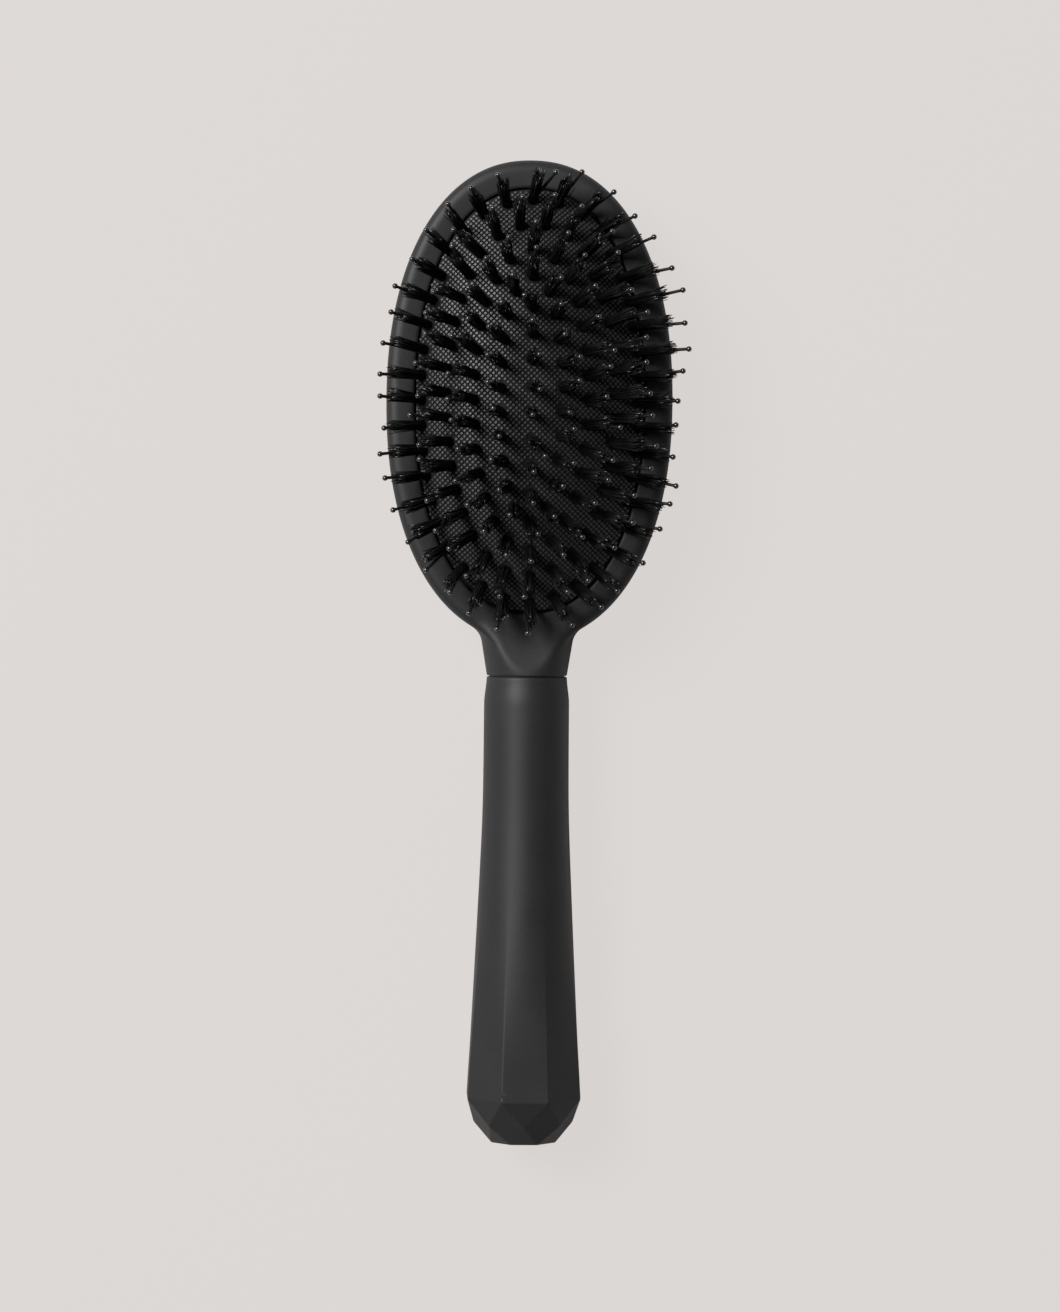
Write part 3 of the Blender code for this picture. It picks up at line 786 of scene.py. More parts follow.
@dataclass
class HeadMoulding:
    """The head's shell with its rim, neck and spigot, as one closed skin.

    The outside is the level set of a few simple forms that are blended: an
    oval bowl, a tapered neck, the rim's front plane and the scoop on the neck.
    A grid of points is laid roughly on it and then drawn onto it.  All points
    are about the head's centre, in the plane of the rim, until the mesh is done.
    """

    seat: Seat
    outline: Oval = Oval(0.0356, 0.0597)
    brim: Oval = Oval(0.0287, 0.0528)
    equator_drop: float = 0.0045
    back_power: float = 2.3
    back_flat_share: float = 0.16
    rim_rounding: float = 0.0032
    rim_crest: float = 0.0030
    rim_fall: float = 0.11
    rim_fall_reach: float = 0.0045
    wall: float = 0.0030
    lip_edge: float = 0.00025
    lip_depth: float = 0.0039
    hollow_end_share: float = 0.05
    neck_length: float = 0.0086
    neck_radius: float = 0.0100
    neck_spread: float = 0.0014
    neck_reach: float = 0.0180
    side_blend: float = 0.0024
    back_blend: float = 0.0100
    corner_reach: float = 0.0026
    seam_edge: float = 0.00015
    scoop_length: float = 0.0136
    scoop_blend: float = 0.0005
    scoop_dish: float = 0.0003
    dish_fade: float = 3.0
    ridge_rounding: float = 0.0008
    ridge_share: float = 0.5
    spigot_inset: float = 0.0006
    neck_columns: int = 34
    corner_columns: int = 12
    line_columns: int = 36
    head_columns: int = 112
    front_rows: int = 34
    back_rows: int = 30
    bowl_rows: int = 9
    track_steps: int = 8
    flat_crowding: float = 1.5
    front_crowding: float = 0.85
    precision: float = 0.0000002
    probe: float = 0.00001
    least_slope: float = 0.01
    settle_steps: int = 10
    weld: float = 0.00001
    sharp_degrees: float = 40.0

    def __post_init__(self) -> None:
        """Work out the places and counts that follow from the sizes."""
        self.axis_drop = self.seat.rim_height - self.seat.axis_height
        self.seam_y = self.seat.neck_end_y - self.seat.head_centre.y
        self.brim_edge = self.brim.shrunk(-self.lip_edge)
        flat_angle = math.acos(self.back_flat_share ** (self.back_power / 2))
        back_depth = self.seat.rim_height - self.equator_drop
        self.bowl_depth = back_depth / math.sin(flat_angle) ** (2 / self.back_power)
        self.oval_start = self.neck_columns + self.corner_columns

    def scoop_height(self, x: float, y: float) -> float:
        """Return the height of the neck's scooped front above the rim's plane.

        Args:
            x: the place across the brush.
            y: the place along the brush.

        Returns:
            The height, never below the rim's plane.
        """
        left = max(1 - (y - self.seam_y) / self.scoop_length, 0.0)
        # The last term puts back what the ridge's rounding takes off the neck's top
        rise = self.neck_radius - self.axis_drop + self.ridge_rounding / 4
        across = min(abs(x) / self.neck_radius, 1.0)
        level = rise * left + self.scoop_dish * across ** 2 * min(self.dish_fade * left, 1.0)
        return soft_max(level, 0.0, self.scoop_blend)

    def front_height(self, x: float, y: float) -> float:
        """Return the front's height: the scoop, less the rim's fall to its brim.

        Args:
            x: the place across the brush.
            y: the place along the brush.

        Returns:
            The height above the rim's plane.
        """
        inside = -self.head_side(Vector((x, y, 0)))
        past = soft_max(inside - self.rim_crest, 0.0, self.rim_crest)
        return self.scoop_height(x, y) - self.rim_fall * min(past, self.rim_fall_reach)

    def head_side(self, p: Vector) -> float:
        """Return about how far a point is outside the head's side and back.

        Args:
            p: the point.

        Returns:
            The oval bowl's excess over 1, divided by its slope, or the depth
            under the plane that the back rests on, whichever is more.
        """
        power, tiny = self.outline.power, self.precision
        size = max(self.outline.size_at(p.x, p.y), tiny)
        slopes = []
        for place, half in ((abs(p.x), self.outline.half_width), (abs(p.y), self.outline.half_length)):
            slopes.append((place / half) ** power / max(place, tiny) * size ** (1 - power))
        depth = (-self.equator_drop - p.z) / self.bowl_depth
        if depth > 0:
            total = (size ** self.back_power + depth ** self.back_power) ** (1 / self.back_power)
            share = (size / total) ** (self.back_power - 1)
            slopes = [slope * share for slope in slopes]
            slopes.append((depth / total) ** (self.back_power - 1) / self.bowl_depth)
            size = total
        return max((size - 1) / math.hypot(*slopes), -p.z - self.seat.rim_height)

    def neck_half(self, y: float) -> float:
        """Return the neck's half width at a place along the brush."""
        return self.neck_radius + self.neck_spread * (y - self.seam_y) / self.neck_length

    def neck_side(self, p: Vector) -> float:
        """Return about how far a point is outside the neck's tapered tube.

        Args:
            p: the point.

        Returns:
            The distance; the tube spreads only sideways and upwards, and has a
            round end inside the head.
        """
        half = self.neck_half(p.y)
        up = p.z + self.axis_drop
        if up < 0:
            up *= half / self.neck_radius
        past = max(p.y - self.seam_y - self.neck_reach, 0.0)
        return math.sqrt(p.x ** 2 + up ** 2 + past ** 2) - half

    def outside(self, p: Vector) -> float:
        """Return about how far a point is outside the whole moulding.

        Args:
            p: the point.

        Returns:
            The distance; the rim's edge is rounder than the scoop's ridge, and
            the neck runs into the back with a wider blend than into the sides.
        """
        under = ease((-p.z - self.axis_drop) / self.neck_radius)
        blend = self.side_blend + (self.back_blend - self.side_blend) * under
        side = soft_min(self.head_side(p), self.neck_side(p), blend)
        along = (p.y - self.seam_y) / self.scoop_length
        grown = ease((along - self.ridge_share) / self.ridge_share)
        rounding = self.ridge_rounding + (self.rim_rounding - self.ridge_rounding) * grown
        return soft_max(side, p.z - self.front_height(p.x, p.y), rounding)

    def settle(self, p: Vector, free: Vector) -> Vector:
        """Draw a point onto the outside surface along its slope.

        Args:
            p: the rough point.
            free: how freely the point may move along each axis, from 0 to 1.

        Returns:
            The point on the surface.
        """
        ways = [axis * self.probe for axis in Matrix.Identity(3)]
        for _ in range(self.settle_steps):
            away = self.outside(p)
            slope = Vector([(self.outside(p + way) - away) / self.probe for way in ways])
            move = free * slope
            if abs(away) < self.precision or move.dot(slope) < self.least_slope:
                break
            p = p - move * (away / move.dot(slope))
        return p

    def shoulder(self) -> Vector:
        """Find the flat point where the neck's side meets the oval.

        Returns:
            The point on the right side, within the precision.
        """
        low, high = -self.outline.half_length, self.seam_y + self.neck_reach
        while high - low > self.precision:
            y = (low + high) / 2
            if self.outline.size_at(self.neck_half(y), y) > 1:
                low = y
            else:
                high = y
        return Vector((self.neck_half(high), high))

    def side_points(self) -> Ring:
        """Lay the columns' flat points on the right side.

        Returns:
            The points from the seam along the neck, round the corner where it
            meets the oval, and along the oval to the head's far end.
        """
        corner = self.shoulder()
        start_y = corner.y - self.corner_reach
        step = (start_y - self.seam_y) / self.neck_columns
        line = [self.seam_y + step * i for i in range(self.neck_columns)]
        points = [Vector((self.neck_half(y), y)) for y in line]
        half = self.head_columns * self.track_steps
        track = [p for p in self.outline.even(2 * half)[:half + 1] if p.x > corner.x or p.y > 0]
        track = [p for p in track if (p - corner).length > self.corner_reach]
        track[-1].x = 0
        start = Vector((self.neck_half(start_y), start_y))
        for i in range(self.corner_columns):
            share = i / self.corner_columns
            points.append(start.lerp(corner, share).lerp(corner.lerp(track[0], share), share))
        last = len(track) - 1
        points += [track[round(last * i / self.head_columns)] for i in range(self.head_columns + 1)]
        return points

    def front_points(self) -> Ring:
        """Lay the columns' points on the front.

        Returns:
            The points on the neck's middle line, then round the brim.
        """
        step = (-self.brim_edge.half_length - self.seam_y) / self.oval_start
        line = [self.seam_y + step * i for i in range(self.oval_start)]
        points = [Vector((0, y, self.scoop_height(0, y))) for y in line]
        ring = self.brim_edge.even(2 * self.head_columns)[:self.head_columns + 1]
        ring[0].x = ring[-1].x = 0
        return points + [Vector((p.x, p.y, self.front_height(p.x, p.y))) for p in ring]

    def back_points(self) -> Ring:
        """Lay the columns' points underneath.

        Returns:
            The points on the middle line, then round the flat that it rests on.
        """
        flat = self.outline.scaled(self.back_flat_share)
        line = [Vector((0, p.y, -self.axis_drop - self.neck_radius)) for p in self.side_points()]
        points = line[:self.oval_start]
        finish = Vector((0, -flat.half_length, -self.seat.rim_height))
        for i in range(self.line_columns):
            points.append(line[self.oval_start].lerp(finish, i / self.line_columns))
        count = self.head_columns - self.line_columns
        track = flat.even(2 * count * self.track_steps)
        for i in range(count + 1):
            done = 1 - (1 - i / count) ** self.flat_crowding
            p = track[round(done * count * self.track_steps)]
            points.append(Vector((max(p.x, 0.0), p.y, -self.seat.rim_height)))
        points[-1].x = points[-1 - count].x = 0
        return points

    def column_points(self, front: Vector, side: Vector, back: Vector) -> Ring:
        """Lay a column's points from the front over the side to the back.

        Args:
            front: the column's first point.
            side: its outermost point.
            back: its last point.

        Returns:
            The rough points, on two quarter ovals.
        """
        turns = [(front, (j / self.front_rows) ** self.front_crowding) for j in range(self.front_rows)]
        turns += [(back, 1 - j / self.back_rows) for j in range(self.back_rows + 1)]
        points = []
        for end, share in turns:
            turn = math.pi / 2 * share
            flat = end.lerp(side, math.sin(turn))
            points.append(Vector((flat.x, flat.y, side.z + (end.z - side.z) * math.cos(turn))))
        return points

    def settled_columns(self) -> list[Ring]:
        """Lay the right half's columns and draw them onto the surface.

        Returns:
            The spigot's two rings and the seam's, then the columns.
        """
        columns = []
        ends = zip(self.front_points(), self.side_points(), self.back_points())
        for i, (front, flat_side, back) in enumerate(ends):
            done = ease((i - self.oval_start) / self.line_columns)
            drop = self.axis_drop + (self.equator_drop - self.axis_drop) * done
            points = self.column_points(front, Vector((*flat_side, -drop)), back)
            along = ease((i - self.neck_columns) / self.corner_columns)
            settled = [self.settle(p, Vector((1 if p.x else 0, along, 1))) for p in points]
            if i >= self.oval_start:
                settled[0] = points[0]
            if i >= self.oval_start + self.line_columns:
                settled[-1] = points[-1]
            columns.append(settled)
        seam = self.seam_ring(columns[0], self.seam_edge)
        spigot = self.seam_ring(columns[0], self.spigot_inset)
        for p in columns[0]:
            p.y += self.seam_edge
        tip = [p - Vector((0, self.seat.clearance + self.seam_edge, 0)) for p in spigot]
        return [tip, spigot, seam] + columns

    def seam_ring(self, column: Ring, inset: float) -> Ring:
        """Return the first column's points moved in towards the neck's axis.

        Args:
            column: the points on the neck's surface.
            inset: how far they are moved in.

        Returns:
            The points at the seam.
        """
        axis = Vector((0, self.seam_y, -self.axis_drop))
        ways = [Vector((p.x, 0, p.z + self.axis_drop)) for p in column]
        return [axis + way * (1 - inset / way.length) for way in ways]

    def hollow_rings(self) -> list[Ring]:
        """Lay the rings of the hollow.

        Returns:
            The rings from the brim's edge to the hollow's floor.
        """
        count = 2 * self.head_columns
        top = [Vector((p.x, p.y, self.front_height(p.x, p.y))) for p in self.brim_edge.even(count)]
        inner = [Vector((p.x, p.y, over.z - self.lip_edge)) for p, over in zip(self.brim.even(count), top)]
        rings = [top, inner, self.brim.ring(count, -self.lip_depth)]
        floor = self.wall - self.seat.rim_height + self.lip_depth
        for i in range(1, self.bowl_rows + 1):
            turn = math.pi / 2 * i / self.bowl_rows
            size = max(math.cos(turn), self.hollow_end_share) ** (2 / self.back_power)
            height = -self.lip_depth + floor * math.sin(turn) ** (2 / self.back_power)
            rings.append(self.brim.scaled(size).ring(count, height))
        return rings

    def mesh(self) -> bpy.types.Mesh:
        """Build the moulding's mesh.

        Returns:
            The closed mesh in the brush's frame.
        """
        shape = bmesh.new()
        columns = self.settled_columns()
        halves = []
        for side in (1, -1):
            rings = [[Vector((side * p.x, p.y, p.z)) for p in column] for column in columns]
            halves.append(bridge(shape, rings, closed=False))
        flat = self.line_columns - self.head_columns - 1
        tips = [half[0] for half in halves]
        flats = [[loop[-1] for loop in half[flat:]] for half in halves]
        for right, left in (tips, flats):
            ladder_cap(shape, right + left[-2:0:-1])
        ladder_cap(shape, bridge(shape, self.hollow_rings())[-1])
        bmesh.ops.remove_doubles(shape, verts=shape.verts, dist=self.weld)
        mesh = mesh_from(shape, "head_moulding", self.sharp_degrees)
        mesh.transform(Matrix.Translation(self.seat.head_centre))
        return mesh

    def build(self) -> None:
        """Build the piece and hang it on its body."""
        piece = new_piece("head_moulding", self.mesh())
        piece.data.materials.append(Finish.SHELL.material())
        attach(piece, "brush")
        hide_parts("head_shell")
        LOG.info("head moulding: %d faces", len(piece.data.polygons))


@dataclass
class Grip:
    """The handle: round at the seam, eight-sided at the butt, with a cut end."""

    seat: Seat
    neck_radius: float
    shoulder_radius: float = 0.0106
    shoulder_length: float = 0.0068
    flare_start: float = 0.0338
    flare_ease: float = 0.0090
    octagon_start: float = 0.0520
    butt_depth: float = 0.0112
    face_width: float = 0.0159
    girdle_share: float = 0.57
    edge_length: float = 0.00030
    edge_segments: int = 3
    seam_edge: float = 0.00030
    seam_edge_share: float = 0.3
    joint_length: float = 0.0016
    facets: int = 8
    corner_shares: tuple[float, ...] = (0.25, 0.5, 0.7, 0.85)
    corner_steps: int = 3
    shoulder_steps: int = 8
    length_steps: int = 84
    normal_weight: int = 60

    def __post_init__(self) -> None:
        """Work out the places that follow from the frame."""
        low, high = self.seat.handle_low, self.seat.handle_high
        self.butt_radius = (high.z - low.z) / 2
        self.length = high.y - low.y
        self.crown = self.length - self.butt_depth
        self.ring_end = self.crown - self.joint_length
        self.half_facet = math.pi / self.facets
        self.slope = math.tan(self.half_facet)
        self.cosine = math.cos(self.half_facet)

    def flare(self, distance: float) -> float:
        """Return how far the side has moved out, as a length."""
        past = distance - self.flare_start
        return (past + math.hypot(past, self.flare_ease)) / 2

    def half_width(self, distance: float) -> float:
        """Return the half width at a distance from the seam.

        Args:
            distance: how far it is from the seam.

        Returns:
            The half width.
        """
        shoulder = (self.shoulder_radius - self.neck_radius) * ease(distance / self.shoulder_length)
        spread = self.flare(distance) / self.flare(self.crown)
        return self.neck_radius + shoulder + (self.butt_radius - self.shoulder_radius) * spread

    def placed(self, across: Vector, distance: float) -> Vector:
        """Return the brush's point for a point of a section at a distance."""
        height = self.seat.axis_height + across.y
        return Vector((across.x, self.seat.handle_high.y - distance, height))

    def facet_stops(self, half_width: float) -> list[float]:
        """Return where a facet's points lie, from -1 at one corner to below 1.

        Args:
            half_width: the facet's distance from the axis.

        Returns:
            The places, which are closer near the two corners.
        """
        edge = self.edge_length / (half_width * self.slope)
        near = [1 - edge * i / self.corner_steps for i in range(self.corner_steps, 0, -1)]
        half = list(self.corner_shares) + near
        return [-1.0] + [-share for share in reversed(half)] + [0.0] + half

    def ring(self, distance: float, half_width: float) -> Ring:
        """Return a section that turns from a circle into an octagon.

        Args:
            distance: how far it is from the seam.
            half_width: the facets' distance from the axis.

        Returns:
            The section's points; the octagon's corners are a little rounded.
        """
        octagon = ease((distance - self.octagon_start) / (self.crown - self.octagon_start))
        rounding = self.edge_length / self.slope
        points = []
        for facet in range(self.facets):
            turn = Matrix.Rotation(2 * self.half_facet * facet, 2)
            for across in self.facet_stops(half_width):
                angle = self.half_facet * across
                to_corner = (1 - abs(across)) * self.slope * half_width
                cut = max(self.edge_length - to_corner, 0.0) ** 2 / (2 * rounding)
                round_point = Vector((math.cos(angle), math.sin(angle))) * half_width
                flat_point = Vector((half_width - cut, self.slope * across * half_width))
                points.append(self.placed(turn @ round_point.lerp(flat_point, octagon), distance))
        return points

    def corners(self, radius: float, distance: float, turn: float = 0.0) -> Ring:
        """Return the corners of a ring of the butt, turned by some half facets."""
        angles = [self.half_facet * (2 * facet + turn) for facet in range(self.facets)]
        return [self.placed(Vector((math.cos(a), math.sin(a))) * radius, distance) for a in angles]

    def butt(self, shape: bmesh.types.BMesh) -> None:
        """Add the facet-cut end, with its edges slightly rounded.

        Args:
            shape: the bmesh that is added to; the end is left open at its top.
        """
        face_radius = self.face_width / 2 / self.cosine
        crown_radius = self.butt_radius / self.cosine
        girdle_radius = crown_radius + (face_radius - crown_radius) * self.girdle_share
        girdle_distance = self.crown + self.butt_depth * self.girdle_share
        top = self.corners(self.half_width(self.ring_end) / self.cosine, self.ring_end, -1)
        crown = bridge(shape, [top, self.corners(crown_radius, self.crown, -1)])[-1]
        girdle = [shape.verts.new(p) for p in self.corners(girdle_radius / self.cosine, girdle_distance)]
        face = [shape.verts.new(p) for p in self.corners(face_radius, self.length, -1)]
        for k in range(self.facets):
            after = (k + 1) % self.facets
            shape.faces.new((crown[k], crown[after], girdle[k]))
            shape.faces.new((crown[k], girdle[k], face[k], girdle[k - 1]))
            shape.faces.new((girdle[k], face[after], face[k]))
        shape.faces.new(face)
        bmesh.ops.bevel(
            shape,
            geom=[edge for edge in shape.edges if not edge.is_boundary],
            offset=self.edge_length * self.cosine,
            offset_type="OFFSET",
            segments=self.edge_segments,
            profile=0.5,
            affect="EDGES",
        )

    def mesh(self) -> bpy.types.Mesh:
        """Build the handle's mesh.

        Returns:
            The closed mesh in the brush's frame.
        """
        shape = bmesh.new()
        self.butt(shape)
        open_edges = [edge for edge in shape.edges if edge.is_boundary]
        rings = [self.ring(0, self.neck_radius - self.seam_edge)]
        near = self.seam_edge * self.seam_edge_share
        rings.append(self.ring(near, self.neck_radius - near))
        short = self.shoulder_length / self.shoulder_steps
        distances = [self.seam_edge] + [short * i for i in range(1, self.shoulder_steps + 1)]
        step = (self.ring_end - self.shoulder_length) / self.length_steps
        distances += [self.shoulder_length + step * i for i in range(1, self.length_steps + 1)]
        rings += [self.ring(distance, self.half_width(distance)) for distance in distances]
        ladder_cap(shape, bridge(shape, rings)[0])
        rim = [edge for edge in shape.edges if edge.is_boundary and edge not in open_edges]
        bmesh.ops.bridge_loops(shape, edges=open_edges + rim)
        return mesh_from(shape, "grip")

    def build(self) -> None:
        """Build the handle and hang it on its body."""
        blank = new_piece("grip_blank", self.mesh())
        modifier = blank.modifiers.new("even_normals", "WEIGHTED_NORMAL")
        modifier.weight = self.normal_weight
        piece = new_piece("grip", plain_mesh(blank, "grip"))
        piece.data.materials.append(Finish.GRIP.material())
        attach(piece, "brush")
        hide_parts("handle")
        LOG.info("grip: %d faces", len(piece.data.polygons))


# The rubber pad

class RowName(Enum):
    """The rows of tufts, from the outer one in."""

    OUTER = ("outer", 40, 0)
    SECOND = ("second", 35, 1)
    THIRD = ("third", 28, 2)
    FOURTH = ("fourth", 22, 3)
    CENTRE = ("centre", 8, 4)

    def __init__(self, label: str, tufts: int, step: int) -> None:
        """Keep the row's facts.

        Args:
            label: the row's name in the CAD bodies.
            tufts: how many tufts it has.
            step: how many steps it lies in from the outer row.
        """
        self.label = label
        self.tufts = tufts
        self.step = step

    @property
    def body(self) -> str:
        """Return the CAD body that the row rides on."""
        return "row_" + self.label

    def nodes(self) -> list[str]:
        """Return the CAD nodes that the row's pieces stand for."""
        return sorted(frame["record"]["behaviour"]["bodies"][self.body])


@dataclass
class CushionPad:
    """The domed rubber pad, embossed with studs and plain at every tuft."""

    seat: Seat
    edge: Oval = Oval(0.0284, 0.0525)
    rise: float = 0.0095
    edge_depth: float = 0.0005
    lip_play: float = 0.00024
    thickness: float = 0.0022
    flange_width: float = 0.0016
    outer_row_side_margin: float = 0.0020
    outer_row_end_margin: float = 0.0033
    centre_room_share: float = 0.19
    ring_rows: int = 4
    stud_pitch: float = 0.00101
    stud_half: float = 0.00044
    stud_corner: float = 1.30
    stud_height: float = 0.00042
    stud_profile: tuple[Pair, ...] = ((1.0, -0.2), (0.88, 0.60), (0.66, 0.95))
    stud_sides: int = 8
    stud_sharp_degrees: float = 40.0
    stud_margin: float = 0.968
    lattice_count: int = 121
    lattice_shrink: float = 0.05
    clearing: float = 0.00162
    crown_share: float = 0.03
    under_shares: Pair = (0.90, 0.04)
    skin_columns: int = 128
    skin_rows: int = 26
    under_rows: int = 6
    skin_sharp_degrees: float = 50.0

    @property
    def halves(self) -> Pair:
        """Return the edge's half width and half length."""
        return self.edge.half_width, self.edge.half_length

    def height(self, x: float, y: float) -> float:
        """Return the skin's height over the rim's plane."""
        return self.rise * (1 - self.edge.size_at(x, y) ** self.edge.power) - self.edge_depth

    def normal(self, x: float, y: float) -> Vector:
        """Return the skin's unit normal.

        Args:
            x: the place across the brush.
            y: the place along the brush.

        Returns:
            The normal.
        """
        power, slopes = self.edge.power, []
        for place, half in zip((x, y), self.halves):
            slope = power * self.rise / half * abs(place / half) ** (power - 1)
            slopes.append(math.copysign(slope, place))
        return Vector((*slopes, 1)).normalized()

    def lifted(self, point: Vector, depth: float = 0.0) -> Vector:
        """Lift a flat point to the skin, or to a depth under it."""
        return Vector((point.x, point.y, self.height(point.x, point.y) - depth))

    def row_points(self, row: RowName) -> Ring:
        """Return the flat places of a row's tufts, about the head's centre.

        Args:
            row: the row.

        Returns:
            The places, on an oval or, for the centre row, on a line.
        """
        side, end = self.outer_row_side_margin, self.outer_row_end_margin
        outer = Oval(self.edge.half_width - side, self.edge.half_length - end)
        if row is RowName.CENTRE:
            reach = outer.half_length - outer.half_width
            return [Vector((0, reach * (2 * i / (row.tufts - 1) - 1))) for i in range(row.tufts)]
        spacing = outer.half_width / (self.ring_rows + self.centre_room_share)
        return outer.shrunk(row.step * spacing).even(row.tufts)

    def skin(self) -> bpy.types.Mesh:
        """Build the pad's closed shell, without its emboss.

        Returns:
            The mesh, about the head's centre.
        """
        count = self.skin_columns
        lip = self.edge.shrunk(self.lip_play)
        rings = []
        for i in range(self.skin_rows + 1):
            outward = math.sin(math.pi / 2 * i / self.skin_rows)
            share = self.crown_share + (1 - self.crown_share) * outward
            rings.append([self.lifted(p) for p in lip.scaled(share).even(count)])
        flange_top = -self.seat.skirt_depth
        flange_low = flange_top - self.seat.flange_thickness
        wide, narrow = self.edge.shrunk(-self.flange_width), self.edge.shrunk(self.flange_width)
        rings += [oval.ring(count, flange_top) for oval in (lip, wide)]
        rings += [oval.ring(count, flange_low) for oval in (wide, narrow)]
        first, last = self.under_shares
        for i in range(self.under_rows + 1):
            under = self.edge.scaled(first + (last - first) * i / self.under_rows)
            rings.append([self.lifted(p, self.thickness) for p in under.even(count)])
        shape = bmesh.new()
        loops = bridge(shape, rings)
        ladder_cap(shape, loops[0])
        ladder_cap(shape, loops[-1])
        return mesh_from(shape, "cushion_skin", self.skin_sharp_degrees)

    def stud(self) -> bpy.types.Object:
        """Make one stud of the emboss: flat-topped, on a blunt square foot.

        Returns:
            The object, with its height as a share stored on its vertices.
        """
        rings = []
        for size, height in self.stud_profile:
            ring = []
            for k in range(self.stud_sides):
                reach = self.stud_half * size * (1.0 if k % 2 else self.stud_corner)
                turned = Matrix.Rotation(math.tau * k / self.stud_sides, 2) @ Vector((reach, 0))
                ring.append(Vector((*turned, self.stud_height * height)))
            rings.append(ring)
        shape = bmesh.new()
        loops = bridge(shape, rings)
        top = shape.verts.new((0, 0, self.stud_height))
        for before, after in zip(loops[-1], loops[-1][1:] + loops[-1][:1]):
            shape.faces.new((before, after, top))
        shape.faces.new(loops[0])
        mesh = mesh_from(shape, "stud", self.stud_sharp_degrees)
        # The rubber paints stud tops paler by this height share, painted light that leaves painted shade at
        # their feet, and glosses them by it
        raised = mesh.attributes.new("raised", "FLOAT", "POINT")
        for item, vertex in zip(raised.data, mesh.vertices):
            item.value = max(vertex.co.z / self.stud_height, 0.0)
        return new_piece("stud", mesh)

    def shares(self, place: Sequence[Socket]) -> list[Socket]:
        """Return how far out a place is, as shares of the edge's half sizes."""
        return [(part / half).apply("ABSOLUTE") for part, half in zip(place, self.halves)]

    def emboss_tree(self, tufts: bpy.types.Object, stud: bpy.types.Object) -> GeometrySketch:
        """Draw the tree that covers the skin with studs.

        A square lattice is turned by an eighth of a turn, drawn in a little near
        the edge and laid on the dome; it keeps clear of the edge and of the tufts.

        Args:
            tufts: the object whose vertices are the tufts' places.
            stud: the object that is one stud.

        Returns:
            The node tree.
        """
        tree = GeometrySketch("pad_emboss", {
            "Pitch": self.stud_pitch,
            "Shrink": self.lattice_shrink,
            "Clearing": self.clearing,
            "Margin": self.stud_margin,
            "Rubber": Finish.PAD.material(),
        })
        count, power = self.lattice_count, self.edge.power
        side = tree.input("Pitch") * (count - 1)
        sizes = {"Size X": side, "Size Y": side, "Vertices X": count, "Vertices Y": count}
        grid = tree.add("GeometryNodeMeshGrid", {}, sizes, "Mesh")
        turned = tree.add("GeometryNodeTransform", {}, {"Geometry": grid, "Rotation": (0, 0, math.pi / 4)})
        place = [tree.position().part(axis) for axis in "XY"]
        near_x, near_y = self.shares(place)
        squeeze = 1 - tree.input("Shrink") * (near_x ** power + near_y ** power)
        place = [part * squeeze for part in place]
        far = self.shares(place)
        spread = far[0] ** power + far[1] ** power
        slopes = []
        for part, share, half in zip(place, far, self.halves):
            slopes.append(part.apply("SIGN") * share ** (power - 1) * (power * self.rise / half))
        height = self.rise * (1 - spread) - self.edge_depth
        kept = tree.store(turned, "upright", tree.vector(*slopes, 1.0))
        kept = tree.store(kept, "spread", spread)
        laid = tree.add("GeometryNodeSetPosition", {}, {
            "Geometry": kept, "Position": tree.vector(*place, height),
        })
        targets = {"target_element": "POINTS"}
        away = tree.add("GeometryNodeProximity", targets, {0: tree.shape_of(tufts)}, "Distance")
        off = tree.add("FunctionNodeBooleanMath", {"operation": "OR"}, {
            0: tree.attribute("spread", "FLOAT").above(tree.input("Margin")),
            1: away.below(tree.input("Clearing")),
        })
        kept = tree.add("GeometryNodeDeleteGeometry", {"domain": "POINT"}, {
            "Geometry": laid, "Selection": off,
        })
        studs = tree.copies(kept, tree.shape_of(stud), tree.upright_on("upright"))
        studs = tree.add("GeometryNodeRealizeInstances", {}, {"Geometry": studs})
        both = [tree.input("Geometry"), studs]
        tree.close(tree.add("GeometryNodeJoinGeometry", {}, {"Geometry": both}), "Rubber")
        return tree

    def tuft_places(self) -> bpy.types.Object:
        """Mark the roots of all tufts.

        Returns:
            The object whose vertices are the roots.
        """
        mesh = bpy.data.meshes.new("tuft_places")
        roots = [self.lifted(point) for row in RowName for point in self.row_points(row)]
        mesh.from_pydata(roots, [], [])
        return new_piece("tuft_places", mesh)

    def build(self) -> None:
        """Build the pad and hang it on its body."""
        tufts, stud = self.tuft_places(), self.stud()
        blank = new_piece("pad_blank", self.skin())
        blank.data.materials.append(Finish.PAD.material())
        mesh = self.emboss_tree(tufts, stud).grow(blank, "cushion")
        for guide in (tufts, stud):
            bpy.data.objects.remove(guide, do_unlink=True)
        mesh.transform(Matrix.Translation(self.seat.head_centre))
        piece = new_piece("cushion", mesh)
        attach(piece, "brush")
        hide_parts("cushion_pad")
        crown = self.seat.rim_height + self.height(0, 0)
        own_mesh(piece)
        LOG.info("cushion: %d faces", len(piece.data.polygons))


# The camera and the studio

